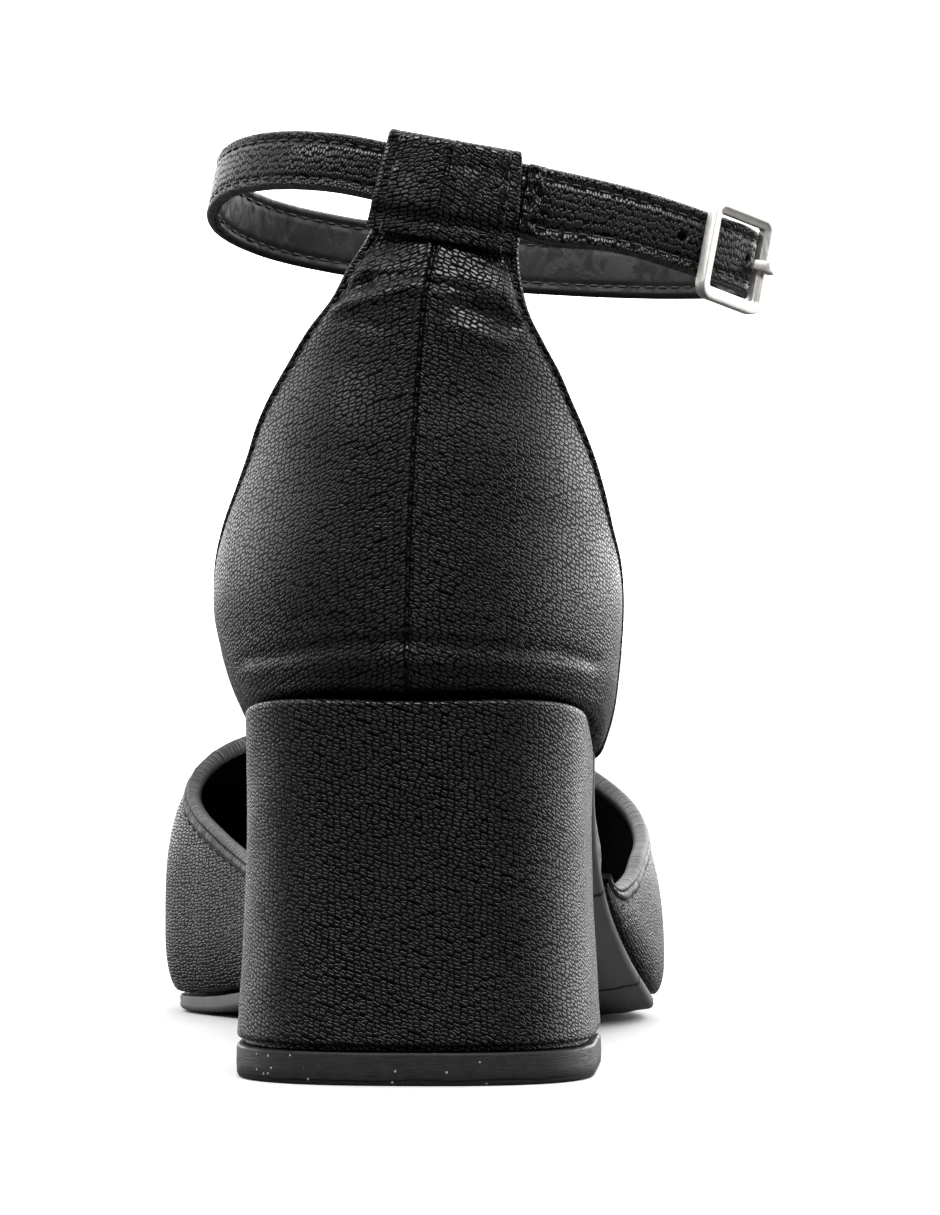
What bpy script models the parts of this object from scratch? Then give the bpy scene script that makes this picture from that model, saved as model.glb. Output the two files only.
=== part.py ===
"""Right-foot ankle-strap court shoe with a covered block heel and open sides.

Units are metres. Inside the shoe's own frame x runs to the wearer's right (the outer side of the
foot), y is the station along the foot, counted forward from the back of the heel, and z is up from
the floor. The empty called shoe moves that frame so that the origin is under the middle of the shoe.
"""

import math
from collections import namedtuple

import bmesh
import bpy
import numpy as np
from mathutils import Matrix, Vector

# Driving dimensions
SHOE_ORIGIN = (-0.0029, -0.1150, 0.0)
SHOE_LENGTH = 0.2300
SOLE_LENGTH = 0.2285
GAP = 0.0003

SOLE_THICKNESS = 0.0034
CAMBER_MEDIAL = 0.0004
CAMBER_LATERAL = 0.0012
SOLE_EDGE_ROUND = 0.0009
HEEL_BREAST = 0.0540

INSOLE_RISE = 0.0055
INSOLE_CROWN = 0.0008
INSOLE_INSET_LASTED = 0.0027
INSOLE_INSET_WAIST = 0.0004
INSOLE_INSET_TOE = 0.0055

VAMP_WALL = 0.0016
VAMP_BULGE_MEDIAL = 0.0025
VAMP_BULGE_LATERAL = 0.0018
WIDEST_MEDIAL = 0.0095
WIDEST_LATERAL = 0.0055
WIDEST_TOE = 0.0055
VAMP_BACK = 0.0995
VAMP_RIDGE_END = 0.2265
LIP_WIDTH = 0.0070
BINDING_WIDTH = 0.0034
BINDING_RISE = 0.0006

QUARTER_WALL = 0.0020
QUARTER_FRONT = 0.0600

LIFT_HEIGHT = 0.0052
LIFT_GROOVE = 0.0010
LIFT_GROOVE_DEPTH = 0.0012

STRAP_WIDTH = 0.0095
STRAP_THICKNESS = 0.0020
STRAP_EDGE_ROUND = 0.0006
LOOP_NORMAL = (0.18, 0.20, 0.96)
SLEEVE_HEIGHT = 0.0136
SLEEVE_THICKNESS = 0.0054
SLEEVE_SLOT_HEIGHT = 0.0103
SLEEVE_SLOT_THICKNESS = 0.0028
KEEPER_WIDTH = 0.0026
KEEPER_WALL = 0.0008

BUCKLE_HEIGHT = 0.0160
BUCKLE_BAR = 0.0021
BUCKLE_THICKNESS = 0.0018
BUCKLE_CORNER = 0.0014
BUCKLE_STAND_OFF = 0.0003
BUCKLE_DROP = 0.0006
HOOK_WIDTH = 0.0034
HOOK_WALL = 0.0009

# Underside of the lasted upper: station along the foot and height above the floor
Profile = namedtuple("Profile", "station height")
BOTTOM_PROFILE = [
    Profile(0.000, 0.0622),
    Profile(0.012, 0.0606),
    Profile(0.025, 0.0582),
    Profile(0.040, 0.0548),
    Profile(0.054, 0.0504),
    Profile(0.068, 0.0442),
    Profile(0.080, 0.0376),
    Profile(0.092, 0.0302),
    Profile(0.105, 0.0219),
    Profile(0.120, 0.0131),
    Profile(0.135, 0.0068),
    Profile(0.147, 0.0041),
    Profile(0.155, 0.0034),
    Profile(0.170, 0.0034),
    Profile(0.180, 0.0038),
    Profile(0.190, 0.0046),
    Profile(0.205, 0.0066),
    Profile(0.218, 0.0090),
    Profile(0.230, 0.0116),
]

# Edge of the shoe's bottom: station, inner (medial) edge and outer (lateral) edge
Edge = namedtuple("Edge", "station medial lateral")
BOTTOM_EDGES = [
    Edge(0.030, -0.0276, 0.0276),
    Edge(0.045, -0.0268, 0.0272),
    Edge(0.060, -0.0248, 0.0266),
    Edge(0.075, -0.0226, 0.0260),
    Edge(0.090, -0.0220, 0.0260),
    Edge(0.105, -0.0236, 0.0272),
    Edge(0.120, -0.0278, 0.0298),
    Edge(0.135, -0.0332, 0.0323),
    Edge(0.150, -0.0428, 0.0328),
    Edge(0.160, -0.0482, 0.0312),
    Edge(0.175, -0.0466, 0.0270),
]
SEAT_BACK = 0.0025
SEAT_POWER = 2.3
TOE_START = BOTTOM_EDGES[-1].station
TOE_POWER = 1.15
TOE_SWING = -0.08

# Top line of the last above the forefoot: station, sideways place and height of the ridge
Ridge = namedtuple("Ridge", "station side height")
INSTEP_RIDGE = [
    Ridge(0.100, -0.0040, 0.0730),
    Ridge(0.115, -0.0070, 0.0680),
    Ridge(0.130, -0.0095, 0.0625),
    Ridge(0.144, -0.0110, 0.0570),
    Ridge(0.157, -0.0120, 0.0512),
    Ridge(0.175, -0.0130, 0.0438),
    Ridge(0.190, -0.0136, 0.0388),
    Ridge(0.205, -0.0140, 0.0338),
    Ridge(0.214, -0.0143, 0.0302),
    Ridge(0.220, -0.0145, 0.0268),
    Ridge(0.224, -0.0146, 0.0234),
    Ridge(0.2265, -0.0147, 0.0200),
]

# Top line of the vamp, rib by rib from its back end: station, and how far round the arch it runs,
# from the sole edge (0 degrees) to the ridge (90 degrees)
Throat = namedtuple("Throat", "station degrees")
MEDIAL_TOPLINE = [
    Throat(0.0995, 0.5),
    Throat(0.1080, 0.7),
    Throat(0.1170, 1.2),
    Throat(0.1260, 2.4),
    Throat(0.1340, 5.2),
    Throat(0.1410, 9.5),
    Throat(0.1470, 15),
    Throat(0.1520, 20.5),
    Throat(0.1558, 27),
    Throat(0.1584, 35),
    Throat(0.1602, 46),
    Throat(0.1615, 60),
    Throat(0.1625, 75),
    Throat(0.1633, 90),
]
LATERAL_TOPLINE = [
    Throat(0.0995, 0.6),
    Throat(0.1040, 0.8),
    Throat(0.1085, 1.4),
    Throat(0.1130, 3),
    Throat(0.1185, 6.2),
    Throat(0.1250, 12),
    Throat(0.1320, 17.5),
    Throat(0.1390, 23.5),
    Throat(0.1455, 30),
    Throat(0.1510, 37),
    Throat(0.1555, 46),
    Throat(0.1592, 58),
    Throat(0.1617, 73),
    Throat(0.1633, 90),
]
MEDIAL_FULLNESS = 3.4
LATERAL_FULLNESS = 2.4
TOE_FULLNESS = 2.3

# Back part of the upper, level by level: height above the seat, place of the back line,
# half width, run from the back line to the widest place, lean to the outer side,
# sideways tilt, and station where the top line cuts the level
Level = namedtuple("Level", "height back half run lean tilt front")
QUARTER_LEVELS = [
    Level(0.0000, 0.0022, 0.0284, 0.0330, 0.00030, 0.00, 0.0600),
    Level(0.0045, 0.0010, 0.0303, 0.0340, 0.00010, 0.00, 0.0560),
    Level(0.0095, 0.0003, 0.0316, 0.0350, -0.00030, 0.00, 0.0495),
    Level(0.0160, 0.0000, 0.0326, 0.0360, -0.00070, 0.00, 0.0414),
    Level(0.0215, 0.0001, 0.0323, 0.0360, -0.00060, 0.00, 0.0350),
    Level(0.0263, 0.0004, 0.0315, 0.0360, -0.00030, 0.00, 0.0300),
    Level(0.0310, 0.0007, 0.0308, 0.0360, 0.00030, 0.00, 0.0261),
    Level(0.0360, 0.0012, 0.0302, 0.0360, 0.00060, 0.00, 0.0230),
    Level(0.0405, 0.0018, 0.0298, 0.0360, 0.00065, 0.01, 0.0207),
    Level(0.0450, 0.0026, 0.0292, 0.0360, 0.00085, 0.02, 0.0186),
    Level(0.0500, 0.0035, 0.0282, 0.0360, 0.00150, 0.04, 0.0166),
    Level(0.0550, 0.0044, 0.0270, 0.0360, 0.00190, 0.06, 0.0147),
    Level(0.0594, 0.0053, 0.0260, 0.0360, 0.00270, 0.09, 0.0130),
    Level(0.0640, 0.0062, 0.0250, 0.0360, 0.00340, 0.12, 0.0125),
    Level(0.0690, 0.0072, 0.0243, 0.0360, 0.00470, 0.15, 0.0120),
    Level(0.0736, 0.0080, 0.0240, 0.0360, 0.00580, 0.17, 0.0122),
]
SEAT_HEIGHT = BOTTOM_PROFILE[0].height
LEVEL_BLEND = 0.045
WAIST_DRAW_IN = 0.0030

# Heel block, level by level: height, half width, back line, breast, run of the round back
HeelLevel = namedtuple("HeelLevel", "height half back breast run")
HEEL_LEVELS = [
    HeelLevel(0.0612, 0.0271, 0.0032, 0.0537, 0.0250),
    HeelLevel(0.0480, 0.0269, 0.0040, 0.0528, 0.0250),
    HeelLevel(0.0340, 0.0271, 0.0046, 0.0514, 0.0250),
    HeelLevel(0.0200, 0.0277, 0.0044, 0.0500, 0.0250),
    HeelLevel(0.0110, 0.0282, 0.0038, 0.0492, 0.0250),
    HeelLevel(LIFT_HEIGHT + LIFT_GROOVE, 0.0285, 0.0034, 0.0488, 0.0250),
]
HEEL_POWER = 2.6
HEEL_SHIFT = -0.0004

# Middle of the strap, from its hooked end round the front of the ankle, through the sleeve at the
# back and on through the buckle to its free end: across, along and up
STRAP_ROUTE = [
    (0.0516, 0.0420, 0.12790),
    (0.0465, 0.0475, 0.12770),
    (0.0380, 0.0525, 0.12760),
    (0.0220, 0.0565, 0.12810),
    (0.0030, 0.0580, 0.12950),
    (-0.0150, 0.0560, 0.13170),
    (-0.0260, 0.0500, 0.13450),
    (-0.0318, 0.0410, 0.13790),
    (-0.0322, 0.0320, 0.14110),
    (-0.0290, 0.0235, 0.14390),
    (-0.0215, 0.0162, 0.14520),
    (-0.0120, 0.0118, 0.14480),
    (-0.0030, 0.0100, 0.14310),
    (0.0062, 0.0094, 0.14145),
    (0.0155, 0.0100, 0.13980),
    (0.0260, 0.0123, 0.13760),
    (0.0370, 0.0168, 0.13470),
    (0.0460, 0.0222, 0.13160),
    (0.0508, 0.0276, 0.12980),
    (0.0524, 0.0330, 0.12860),
    (0.0506, 0.0382, 0.12800),
    (0.0472, 0.0425, 0.12770),
]
SLEEVE_LEFT = -0.0050
SLEEVE_RIGHT = 0.0160
KEEPER_PLACE = 0.0186
BAR_NEAR = (0.0448, 0.0213, 0.1320)
BAR_FAR = (0.0524, 0.0300, 0.1291)


def column(rows, name):
    """One column of a table as a list."""
    return [getattr(row, name) for row in rows]


def smooth(xs, ys, x):
    """Cubic curve through the points of a table, with level slopes kept at its turning points."""
    xs, ys = np.asarray(xs, float), np.asarray(ys, float)
    x = np.clip(x, xs[0], xs[-1])
    steps = np.diff(xs)
    slopes = np.diff(ys) / steps
    tangents = np.empty_like(ys)
    tangents[1:-1] = (slopes[:-1] * steps[1:] + slopes[1:] * steps[:-1]) / (steps[:-1] + steps[1:])
    tangents[0], tangents[-1] = slopes[0], slopes[-1]
    i = np.clip(np.searchsorted(xs, x, side="right") - 1, 0, len(xs) - 2)
    t = (x - xs[i]) / steps[i]
    h00 = 2 * t**3 - 3 * t**2 + 1
    h10 = t**3 - 2 * t**2 + t
    h01 = 3 * t**2 - 2 * t**3
    h11 = t**3 - t**2
    return h00 * ys[i] + h10 * steps[i] * tangents[i] + h01 * ys[i + 1] + h11 * steps[i] * tangents[i + 1]


def ramp(x, low, high):
    """Smooth step from 0 at low to 1 at high."""
    t = np.clip((x - low) / (high - low), 0.0, 1.0)
    return t * t * (3 - 2 * t)


def bottom_height(station):
    return smooth(column(BOTTOM_PROFILE, "station"), column(BOTTOM_PROFILE, "height"), station)


def bottom_edges(station):
    """Inner and outer edge of the shoe's bottom at a station."""
    first, last = BOTTOM_EDGES[0], BOTTOM_EDGES[-1]
    if station < first.station:
        run = first.station - SEAT_BACK
        behind = np.clip((first.station - station) / run, 0.0, 1.0)
        half = first.lateral * (1 - behind**SEAT_POWER) ** (1 / SEAT_POWER)
        return -half, half
    if station > last.station:
        ahead = np.clip((station - TOE_START) / (SOLE_LENGTH - TOE_START), 0.0, 1.0)
        half = (last.lateral - last.medial) / 2 * math.sqrt(1 - ahead**TOE_POWER)
        middle = (last.lateral + last.medial) / 2 + TOE_SWING * (station - TOE_START)
        return middle - half, middle + half
    stations = column(BOTTOM_EDGES, "station")
    medial = smooth(stations, column(BOTTOM_EDGES, "medial"), station)
    lateral = smooth(stations, column(BOTTOM_EDGES, "lateral"), station)
    return float(medial), float(lateral)


def toe_spaced(start, end, count):
    """Stations from start to end that crowd towards the end, as a round toe needs."""
    return [start + (end - start) * math.sin(math.pi / 2 * i / (count - 1)) for i in range(count)]


def grid_mesh(name, rows, closed_across=False, cap_ends=False):
    """Mesh through rows of points, each row as long as the others."""
    bm = bmesh.new()
    grid = [[bm.verts.new(Vector(p)) for p in row] for row in rows]
    across = len(grid[0])
    last = across if closed_across else across - 1
    for near, far in zip(grid, grid[1:]):
        for k in range(last):
            n = (k + 1) % across
            bm.faces.new((near[k], near[n], far[n], far[k]))
    if cap_ends:
        bm.faces.new(list(reversed(grid[0])))
        bm.faces.new(grid[-1])
    bmesh.ops.remove_doubles(bm, verts=bm.verts, dist=1e-6)
    face_outwards(bm)
    mesh = bpy.data.meshes.new(name)
    bm.to_mesh(mesh)
    bm.free()
    return mesh


def face_outwards(bm):
    """Turns all faces of a shell or solid away from its middle."""
    bmesh.ops.recalc_face_normals(bm, faces=bm.faces)
    middle = sum((v.co for v in bm.verts), Vector()) / len(bm.verts)
    outward = sum(f.calc_area() * f.normal.dot(f.calc_center_median() - middle) for f in bm.faces)
    if outward < 0:
        bmesh.ops.reverse_faces(bm, faces=bm.faces)


def add_object(name, mesh, material, collection, parent):
    """Object for a mesh, in a collection, under the shoe's empty."""
    part = bpy.data.objects.new(name, mesh)
    collection.objects.link(part)
    part.parent = parent
    mesh.materials.append(material)
    mesh.shade_smooth()
    mesh.set_sharp_from_angle(angle=math.radians(40))
    return part


def make_material(name, colour, roughness, metallic=0.0):
    material = bpy.data.materials.new(name)
    material.use_nodes = True
    shader = material.node_tree.nodes["Principled BSDF"]
    shader.inputs["Base Color"].default_value = (*colour, 1.0)
    shader.inputs["Roughness"].default_value = roughness
    shader.inputs["Metallic"].default_value = metallic
    return material


def add_solidify(part, thickness):
    """Wall of one thickness, grown inwards from the modelled outer face."""
    wall = part.modifiers.new("wall", "SOLIDIFY")
    wall.thickness = thickness
    wall.offset = -1.0
    wall.use_even_offset = True
    wall.use_quality_normals = True


def edge_normal(station, sign):
    """Outward direction of the sole's edge in plan, on one side."""
    behind = station - 0.0003
    ahead = min(station + 0.0003, SOLE_LENGTH - 0.00001)
    side = 1 if sign > 0 else 0
    run = np.array([bottom_edges(ahead)[side] - bottom_edges(behind)[side], ahead - behind])
    run /= np.linalg.norm(run)
    return np.array([sign * run[1], -sign * run[0]])


# Vamp: ribs rise from the edge of the sole to the top line, or to the ridge over the toes

VAMP_BACK_RIBS = 16
VAMP_TOE_RIBS = 12
ARCH_STEPS = 12
CURL_STEPS = 3


def vamp_rib(edge, normal, ridge, bulge, widest, fullness, reach):
    """Outer face of the vamp along one rib: lip under the insole, curl, side wall and arch."""
    ridge_plan = np.array(ridge[:2])
    edge_plan = np.array(edge[:2])
    floor = edge[2] + GAP
    wide_plan = edge_plan + bulge * normal
    wide_height = floor + widest
    points = []
    for inset in (LIP_WIDTH, LIP_WIDTH / 2):
        plan = edge_plan - inset * normal
        points.append((*plan, float(bottom_height(plan[1])) + GAP))
    for step in range(CURL_STEPS):
        angle = math.pi / 2 * step / CURL_STEPS
        plan = edge_plan + bulge * math.sin(angle) * normal
        points.append((*plan, floor + (wide_height - floor) * (1 - math.cos(angle))))
    arch = []
    for angle in np.linspace(0.0, reach, 61):
        across = max(math.cos(angle), 0.0) ** (2 / fullness)
        rise = math.sin(angle) ** (2 / fullness)
        plan = ridge_plan + (wide_plan - ridge_plan) * across
        arch.append((*plan, wide_height + (ridge[2] - wide_height) * rise))
    return points + arch_points(np.array(arch), reach < math.pi / 2 - 0.01)


def arch_points(arch, bound):
    """Evenly spaced points up a rib; a bound rib ends in the raised binding of the top line."""
    run = np.concatenate([[0.0], np.cumsum(np.linalg.norm(np.diff(arch, axis=0), axis=1))])
    if not bound:
        places = np.linspace(0.0, run[-1], ARCH_STEPS + 1)
        return [tuple(np.interp(d, run, arch[:, k]) for k in range(3)) for d in places]
    band = min(BINDING_WIDTH, run[-1] * 0.5)
    places = np.linspace(0.0, run[-1] - band, ARCH_STEPS - 1).tolist() + [run[-1] - band + 0.0002, run[-1]]
    points = [np.array([np.interp(d, run, arch[:, k]) for k in range(3)]) for d in places]
    along = arch[-1] - arch[0]
    flat = np.array([along[0], along[1], 0.0])
    slope = points[-1] - points[-2]
    outward = np.cross(np.cross(flat, (0.0, 0.0, 1.0)), slope) if np.linalg.norm(flat) > 1e-6 else flat
    size = np.linalg.norm(outward)
    if size > 1e-12:
        outward *= -BINDING_RISE * band / BINDING_WIDTH / size
        outward *= math.copysign(1.0, outward[2])
        points[-1] = points[-1] + outward
        points[-2] = points[-2] + outward
    return [tuple(point) for point in points]


def vamp_side(sign):
    """Ribs of one side of the vamp, from its back end round to the tip of the toe."""
    line = LATERAL_TOPLINE if sign > 0 else MEDIAL_TOPLINE
    knots = list(range(len(line)))
    places = np.linspace(0, knots[-1], VAMP_BACK_RIBS)
    stations = [float(smooth(knots, column(line, "station"), place)) for place in places]
    reaches = [float(smooth(knots, column(line, "degrees"), place)) for place in places]
    cuts = list(stations)
    toes = [math.sin(math.pi / 2 * i / VAMP_TOE_RIBS) for i in range(1, VAMP_TOE_RIBS + 1)]
    stations += [stations[-1] + (SOLE_LENGTH - stations[-1]) * toe for toe in toes]
    cuts += [cuts[-1] + (VAMP_RIDGE_END - cuts[-1]) * toe for toe in toes]
    edges = []
    for station in stations:
        medial, lateral = bottom_edges(station)
        edges.append((lateral if sign > 0 else medial, station, float(bottom_height(station))))
    ribs = []
    for i, (edge, cut) in enumerate(zip(edges, cuts)):
        normal = edge_normal(edge[1], sign) if i < len(edges) - 1 else np.array([0.0, 1.0])
        toe = max(0.0, (i - VAMP_BACK_RIBS + 1) / VAMP_TOE_RIBS)
        reach = math.radians(reaches[i]) if i < VAMP_BACK_RIBS else math.pi / 2
        ridge = (
            float(smooth(column(INSTEP_RIDGE, "station"), column(INSTEP_RIDGE, "side"), cut)),
            cut,
            float(smooth(column(INSTEP_RIDGE, "station"), column(INSTEP_RIDGE, "height"), cut)),
        )
        bulge = VAMP_BULGE_LATERAL if sign > 0 else VAMP_BULGE_MEDIAL
        widest = WIDEST_LATERAL if sign > 0 else WIDEST_MEDIAL
        fullness = LATERAL_FULLNESS if sign > 0 else MEDIAL_FULLNESS
        wing = ramp(cut, VAMP_BACK, VAMP_BACK + 0.022)
        bulge = (bulge + (SHOE_LENGTH - SOLE_LENGTH - bulge) * toe**2) * (0.3 + 0.7 * wing)
        widest = (widest + (WIDEST_TOE - widest) * toe) * (0.15 + 0.85 * wing)
        fullness += (TOE_FULLNESS - fullness) * toe**2
        ribs.append(vamp_rib(edge, normal, ridge, bulge, widest, fullness, reach))
    return ribs


def make_vamp(material, collection, parent):
    medial = vamp_side(-1)
    lateral = vamp_side(1)
    mesh = grid_mesh("vamp", medial + lateral[-2::-1])
    part = add_object("vamp", mesh, material, collection, parent)
    weld_ridge(part)
    add_solidify(part, VAMP_WALL)
    return part


def weld_ridge(part):
    """Joins the two sides of the vamp where their ribs meet on the ridge."""
    bm = bmesh.new()
    bm.from_mesh(part.data)
    bmesh.ops.remove_doubles(bm, verts=bm.verts, dist=1e-5)
    face_outwards(bm)
    bm.to_mesh(part.data)
    bm.free()


# Quarter: levels run round the back of the heel, from one front edge to the other

QUARTER_STEPS = 14


def quarter_point(level, sweep):
    """Point of a level; sweep is 0 on the back line, 1 at the widest place, and more in front of it."""
    side = math.copysign(1.0, sweep)
    sweep = abs(sweep)
    if sweep <= 1.0:
        angle = sweep * math.pi / 2
        across = level.half * math.sin(angle)
        station = level.back + level.run * (1 - math.cos(angle))
    else:
        ahead = (sweep - 1.0) * level.run
        across = level.half - WAIST_DRAW_IN * (ahead / level.run) ** 2
        station = level.back + level.run + ahead
    hold = ramp(level.height, 0.0, LEVEL_BLEND)
    seat = bottom_height(station)
    height = level.height + seat + hold * (SEAT_HEIGHT - seat)
    x = side * across
    return (x + level.lean, station, height + GAP - level.tilt * x)


def quarter_sweep(level):
    """Sweep at which the top line cuts a level."""
    ahead = level.front - level.back
    if ahead < level.run:
        return math.acos(1 - ahead / level.run) / (math.pi / 2)
    return 1.0 + (ahead - level.run) / level.run


def make_quarter_shell(material, collection, parent):
    rows = []
    base = QUARTER_LEVELS[0]
    for inset in (LIP_WIDTH, LIP_WIDTH / 2):
        inner = base._replace(back=base.back + inset, half=base.half - inset, run=base.run - inset)
        rows.append(inner._replace(front=base.front))
    rows.extend(QUARTER_LEVELS)
    grid = []
    for level in rows:
        reach = quarter_sweep(level)
        sweeps = np.linspace(-reach, reach, 2 * QUARTER_STEPS + 1)
        grid.append([quarter_point(level, sweep) for sweep in sweeps])
    mesh = grid_mesh("quarter", grid)
    part = add_object("quarter", mesh, material, collection, parent)
    add_solidify(part, QUARTER_WALL)
    return part


# Strap, sleeve, keeper: rounded flat sections swept along the strap's route


def route_points(count):
    """Evenly spaced points of a smooth curve through the strap's route."""
    route = np.array(STRAP_ROUTE)
    chord = np.concatenate([[0.0], np.cumsum(np.linalg.norm(np.diff(route, axis=0), axis=1))])
    fine = np.linspace(0.0, chord[-1], count)
    return np.stack([[float(smooth(chord, route[:, k], d)) for d in fine] for k in range(3)], axis=1)


def route_frames(points):
    """Points with their width direction (up the strap) and thickness direction (outwards)."""
    tangents = np.gradient(points, axis=0)
    tangents /= np.linalg.norm(tangents, axis=1)[:, None]
    normal = np.array(LOOP_NORMAL) / np.linalg.norm(LOOP_NORMAL)
    frames = []
    for point, tangent in zip(points, tangents):
        up = normal - tangent * (normal @ tangent)
        up /= np.linalg.norm(up)
        frames.append((point, up, np.cross(tangent, up)))
    return frames


def flat_section(height, thickness, round_by):
    """Outline of a flat bar with rounded edges, as offsets up and out."""
    h, t, r = height / 2, thickness / 2, round_by
    k = r * (1 - math.sqrt(0.5))
    quarter = [(h - r, t), (h - k, t - k), (h, t - r)]
    outline = quarter + [(u, -v) for u, v in reversed(quarter)]
    outline += [(-u, -v) for u, v in quarter] + [(-u, v) for u, v in reversed(quarter)]
    return outline


def section_ring(frame, outline):
    point, up, out = frame
    return [tuple(point + up * u + out * v) for u, v in outline]


STRAP_SECTIONS = 92


def make_strap(material, collection, parent):
    frames = route_frames(route_points(STRAP_SECTIONS))
    outline = flat_section(STRAP_WIDTH, STRAP_THICKNESS, STRAP_EDGE_ROUND)
    rings = [section_ring(frame, outline) for frame in frames]
    mesh = grid_mesh("ankle_strap", rings, closed_across=True, cap_ends=True)
    return add_object("ankle_strap", mesh, material, collection, parent)


def back_frames(low, high, count):
    """Frames of the strap's route across the back of the heel, between two sideways places."""
    dense = route_points(1200)
    behind = [p for p in dense if p[1] < 0.030 and low - 0.0002 <= p[0] <= high + 0.0002]
    picked = [behind[round(i * (len(behind) - 1) / (count - 1))] for i in range(count)]
    return route_frames(np.array(picked))


def tube_mesh(name, frames, outer, inner):
    """Short tube along the strap, with a slot through it."""
    rings = [section_ring(frame, outer) for frame in frames]
    rings += [section_ring(frame, inner) for frame in reversed(frames)]
    rings.append(rings[0])
    return grid_mesh(name, rings, closed_across=True)


def make_sleeve(material, collection, parent):
    outer = flat_section(SLEEVE_HEIGHT, SLEEVE_THICKNESS, 0.0022)
    inner = flat_section(SLEEVE_SLOT_HEIGHT, SLEEVE_SLOT_THICKNESS, 0.0006)
    frames = back_frames(SLEEVE_LEFT, SLEEVE_RIGHT, 7)
    mesh = tube_mesh("strap_sleeve", frames, outer, inner)
    return add_object("strap_sleeve", mesh, material, collection, parent)


def make_keeper(material, collection, parent):
    inner_height = STRAP_WIDTH + 2 * GAP
    inner_thickness = STRAP_THICKNESS + 2 * GAP
    outer = flat_section(inner_height + 2 * KEEPER_WALL, inner_thickness + 2 * KEEPER_WALL, 0.0010)
    inner = flat_section(inner_height, inner_thickness, 0.0006)
    frames = back_frames(KEEPER_PLACE - KEEPER_WIDTH / 2, KEEPER_PLACE + KEEPER_WIDTH / 2, 2)
    mesh = tube_mesh("strap_keeper", frames, outer, inner)
    return add_object("strap_keeper", mesh, material, collection, parent)


def make_quarter(material, collection, cutters, parent):
    """Back part with the sleeve for the strap grown out of its top edge."""
    quarter = make_quarter_shell(material, collection, parent)
    sleeve = make_sleeve(material, cutters, parent)
    join = quarter.modifiers.new("sleeve", "BOOLEAN")
    join.operation = "UNION"
    join.object = sleeve
    sleeve.hide_render = True
    sleeve.display_type = "WIRE"
    return quarter


# Buckle frame and the hook that catches its far bar

BUCKLE_CORNER_STEPS = 4


def buckle_axes():
    """Middle of each bar, and the frame's directions along the strap, up and outwards."""
    frames = route_frames(route_points(400))
    bars = []
    for place in (BAR_NEAR, BAR_FAR):
        point, up, out = min(frames, key=lambda f: np.linalg.norm(f[0] - np.array(place)))
        stand_off = STRAP_THICKNESS / 2 + GAP + BUCKLE_THICKNESS / 2 + BUCKLE_STAND_OFF
        bars.append((point + out * stand_off - up * BUCKLE_DROP, up))
    along = bars[1][0] - bars[0][0]
    along /= np.linalg.norm(along)
    up = bars[0][1] + bars[1][1]
    up -= along * (up @ along)
    up /= np.linalg.norm(up)
    return bars[0][0], bars[1][0], along, up, np.cross(along, up)


def make_buckle(material, collection, parent):
    near, far, along, up, out = buckle_axes()
    middle = (near + far) / 2
    half_run = np.linalg.norm(far - near) / 2
    half_rise = (BUCKLE_HEIGHT - BUCKLE_BAR) / 2
    outline = flat_section(BUCKLE_BAR, BUCKLE_THICKNESS, 0.0004)
    rings = []
    for corner, (a, b) in enumerate(((1, 1), (-1, 1), (-1, -1), (1, -1))):
        centre = middle + along * a * (half_run - BUCKLE_CORNER) + up * b * (half_rise - BUCKLE_CORNER)
        for step in range(BUCKLE_CORNER_STEPS + 1):
            angle = math.pi / 2 * (corner + step / BUCKLE_CORNER_STEPS)
            away = along * math.cos(angle) + up * math.sin(angle)
            rings.append(section_ring((centre + away * BUCKLE_CORNER, away, out), outline))
    rings.append(rings[0])
    mesh = grid_mesh("buckle_frame", rings, closed_across=True)
    return add_object("buckle_frame", mesh, material, collection, parent)


def make_hook(material, collection, parent):
    """Flat hook on the strap's end, bent over the outside of the buckle's far bar."""
    _, bar, along, up, out = buckle_axes()
    reach = BUCKLE_BAR / 2 + GAP + HOOK_WALL / 2
    stand = BUCKLE_THICKNESS / 2 + GAP + HOOK_WALL / 2
    route = []
    for turn in np.linspace(math.pi, 0.0, 9):
        route.append(bar + along * reach * math.cos(turn) + out * stand * math.sin(turn))
    end = route_frames(route_points(400))
    for index in (0, 8, 16):
        point, _, away = end[index]
        route.append(point + away * (STRAP_THICKNESS / 2 + GAP + HOOK_WALL / 2))
    route = np.array(route)
    tangents = np.gradient(route, axis=0)
    outline = flat_section(HOOK_WIDTH, HOOK_WALL, 0.0002)
    rings = []
    for point, tangent in zip(route, tangents):
        side = np.cross(tangent / np.linalg.norm(tangent), up)
        rings.append(section_ring((point, up, side / np.linalg.norm(side)), outline))
    mesh = grid_mesh("buckle_hook", rings, closed_across=True, cap_ends=True)
    return add_object("buckle_hook", mesh, material, collection, parent)


# Heel, top lift, outsole and insole

HEEL_STEPS = 13
BREAST_STEPS = 4


def heel_outline(level, inset=0.0):
    """Half outline of a heel level, from the breast round to the back line: across and station."""
    half = level.half - inset
    back = level.back + inset
    breast = level.breast - inset
    corner = back + level.run
    sides = [(half * 0.96, breast), (half, breast - 0.0012)]
    sides += [(half, breast + (corner - breast) * i / BREAST_STEPS) for i in range(1, BREAST_STEPS)]
    for step in range(HEEL_STEPS):
        angle = math.pi / 2 * step / (HEEL_STEPS - 1)
        across = half * max(math.cos(angle), 0.0) ** (2 / HEEL_POWER)
        station = corner - level.run * math.sin(angle) ** (2 / HEEL_POWER)
        sides.append((across, station))
    return sides


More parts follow.
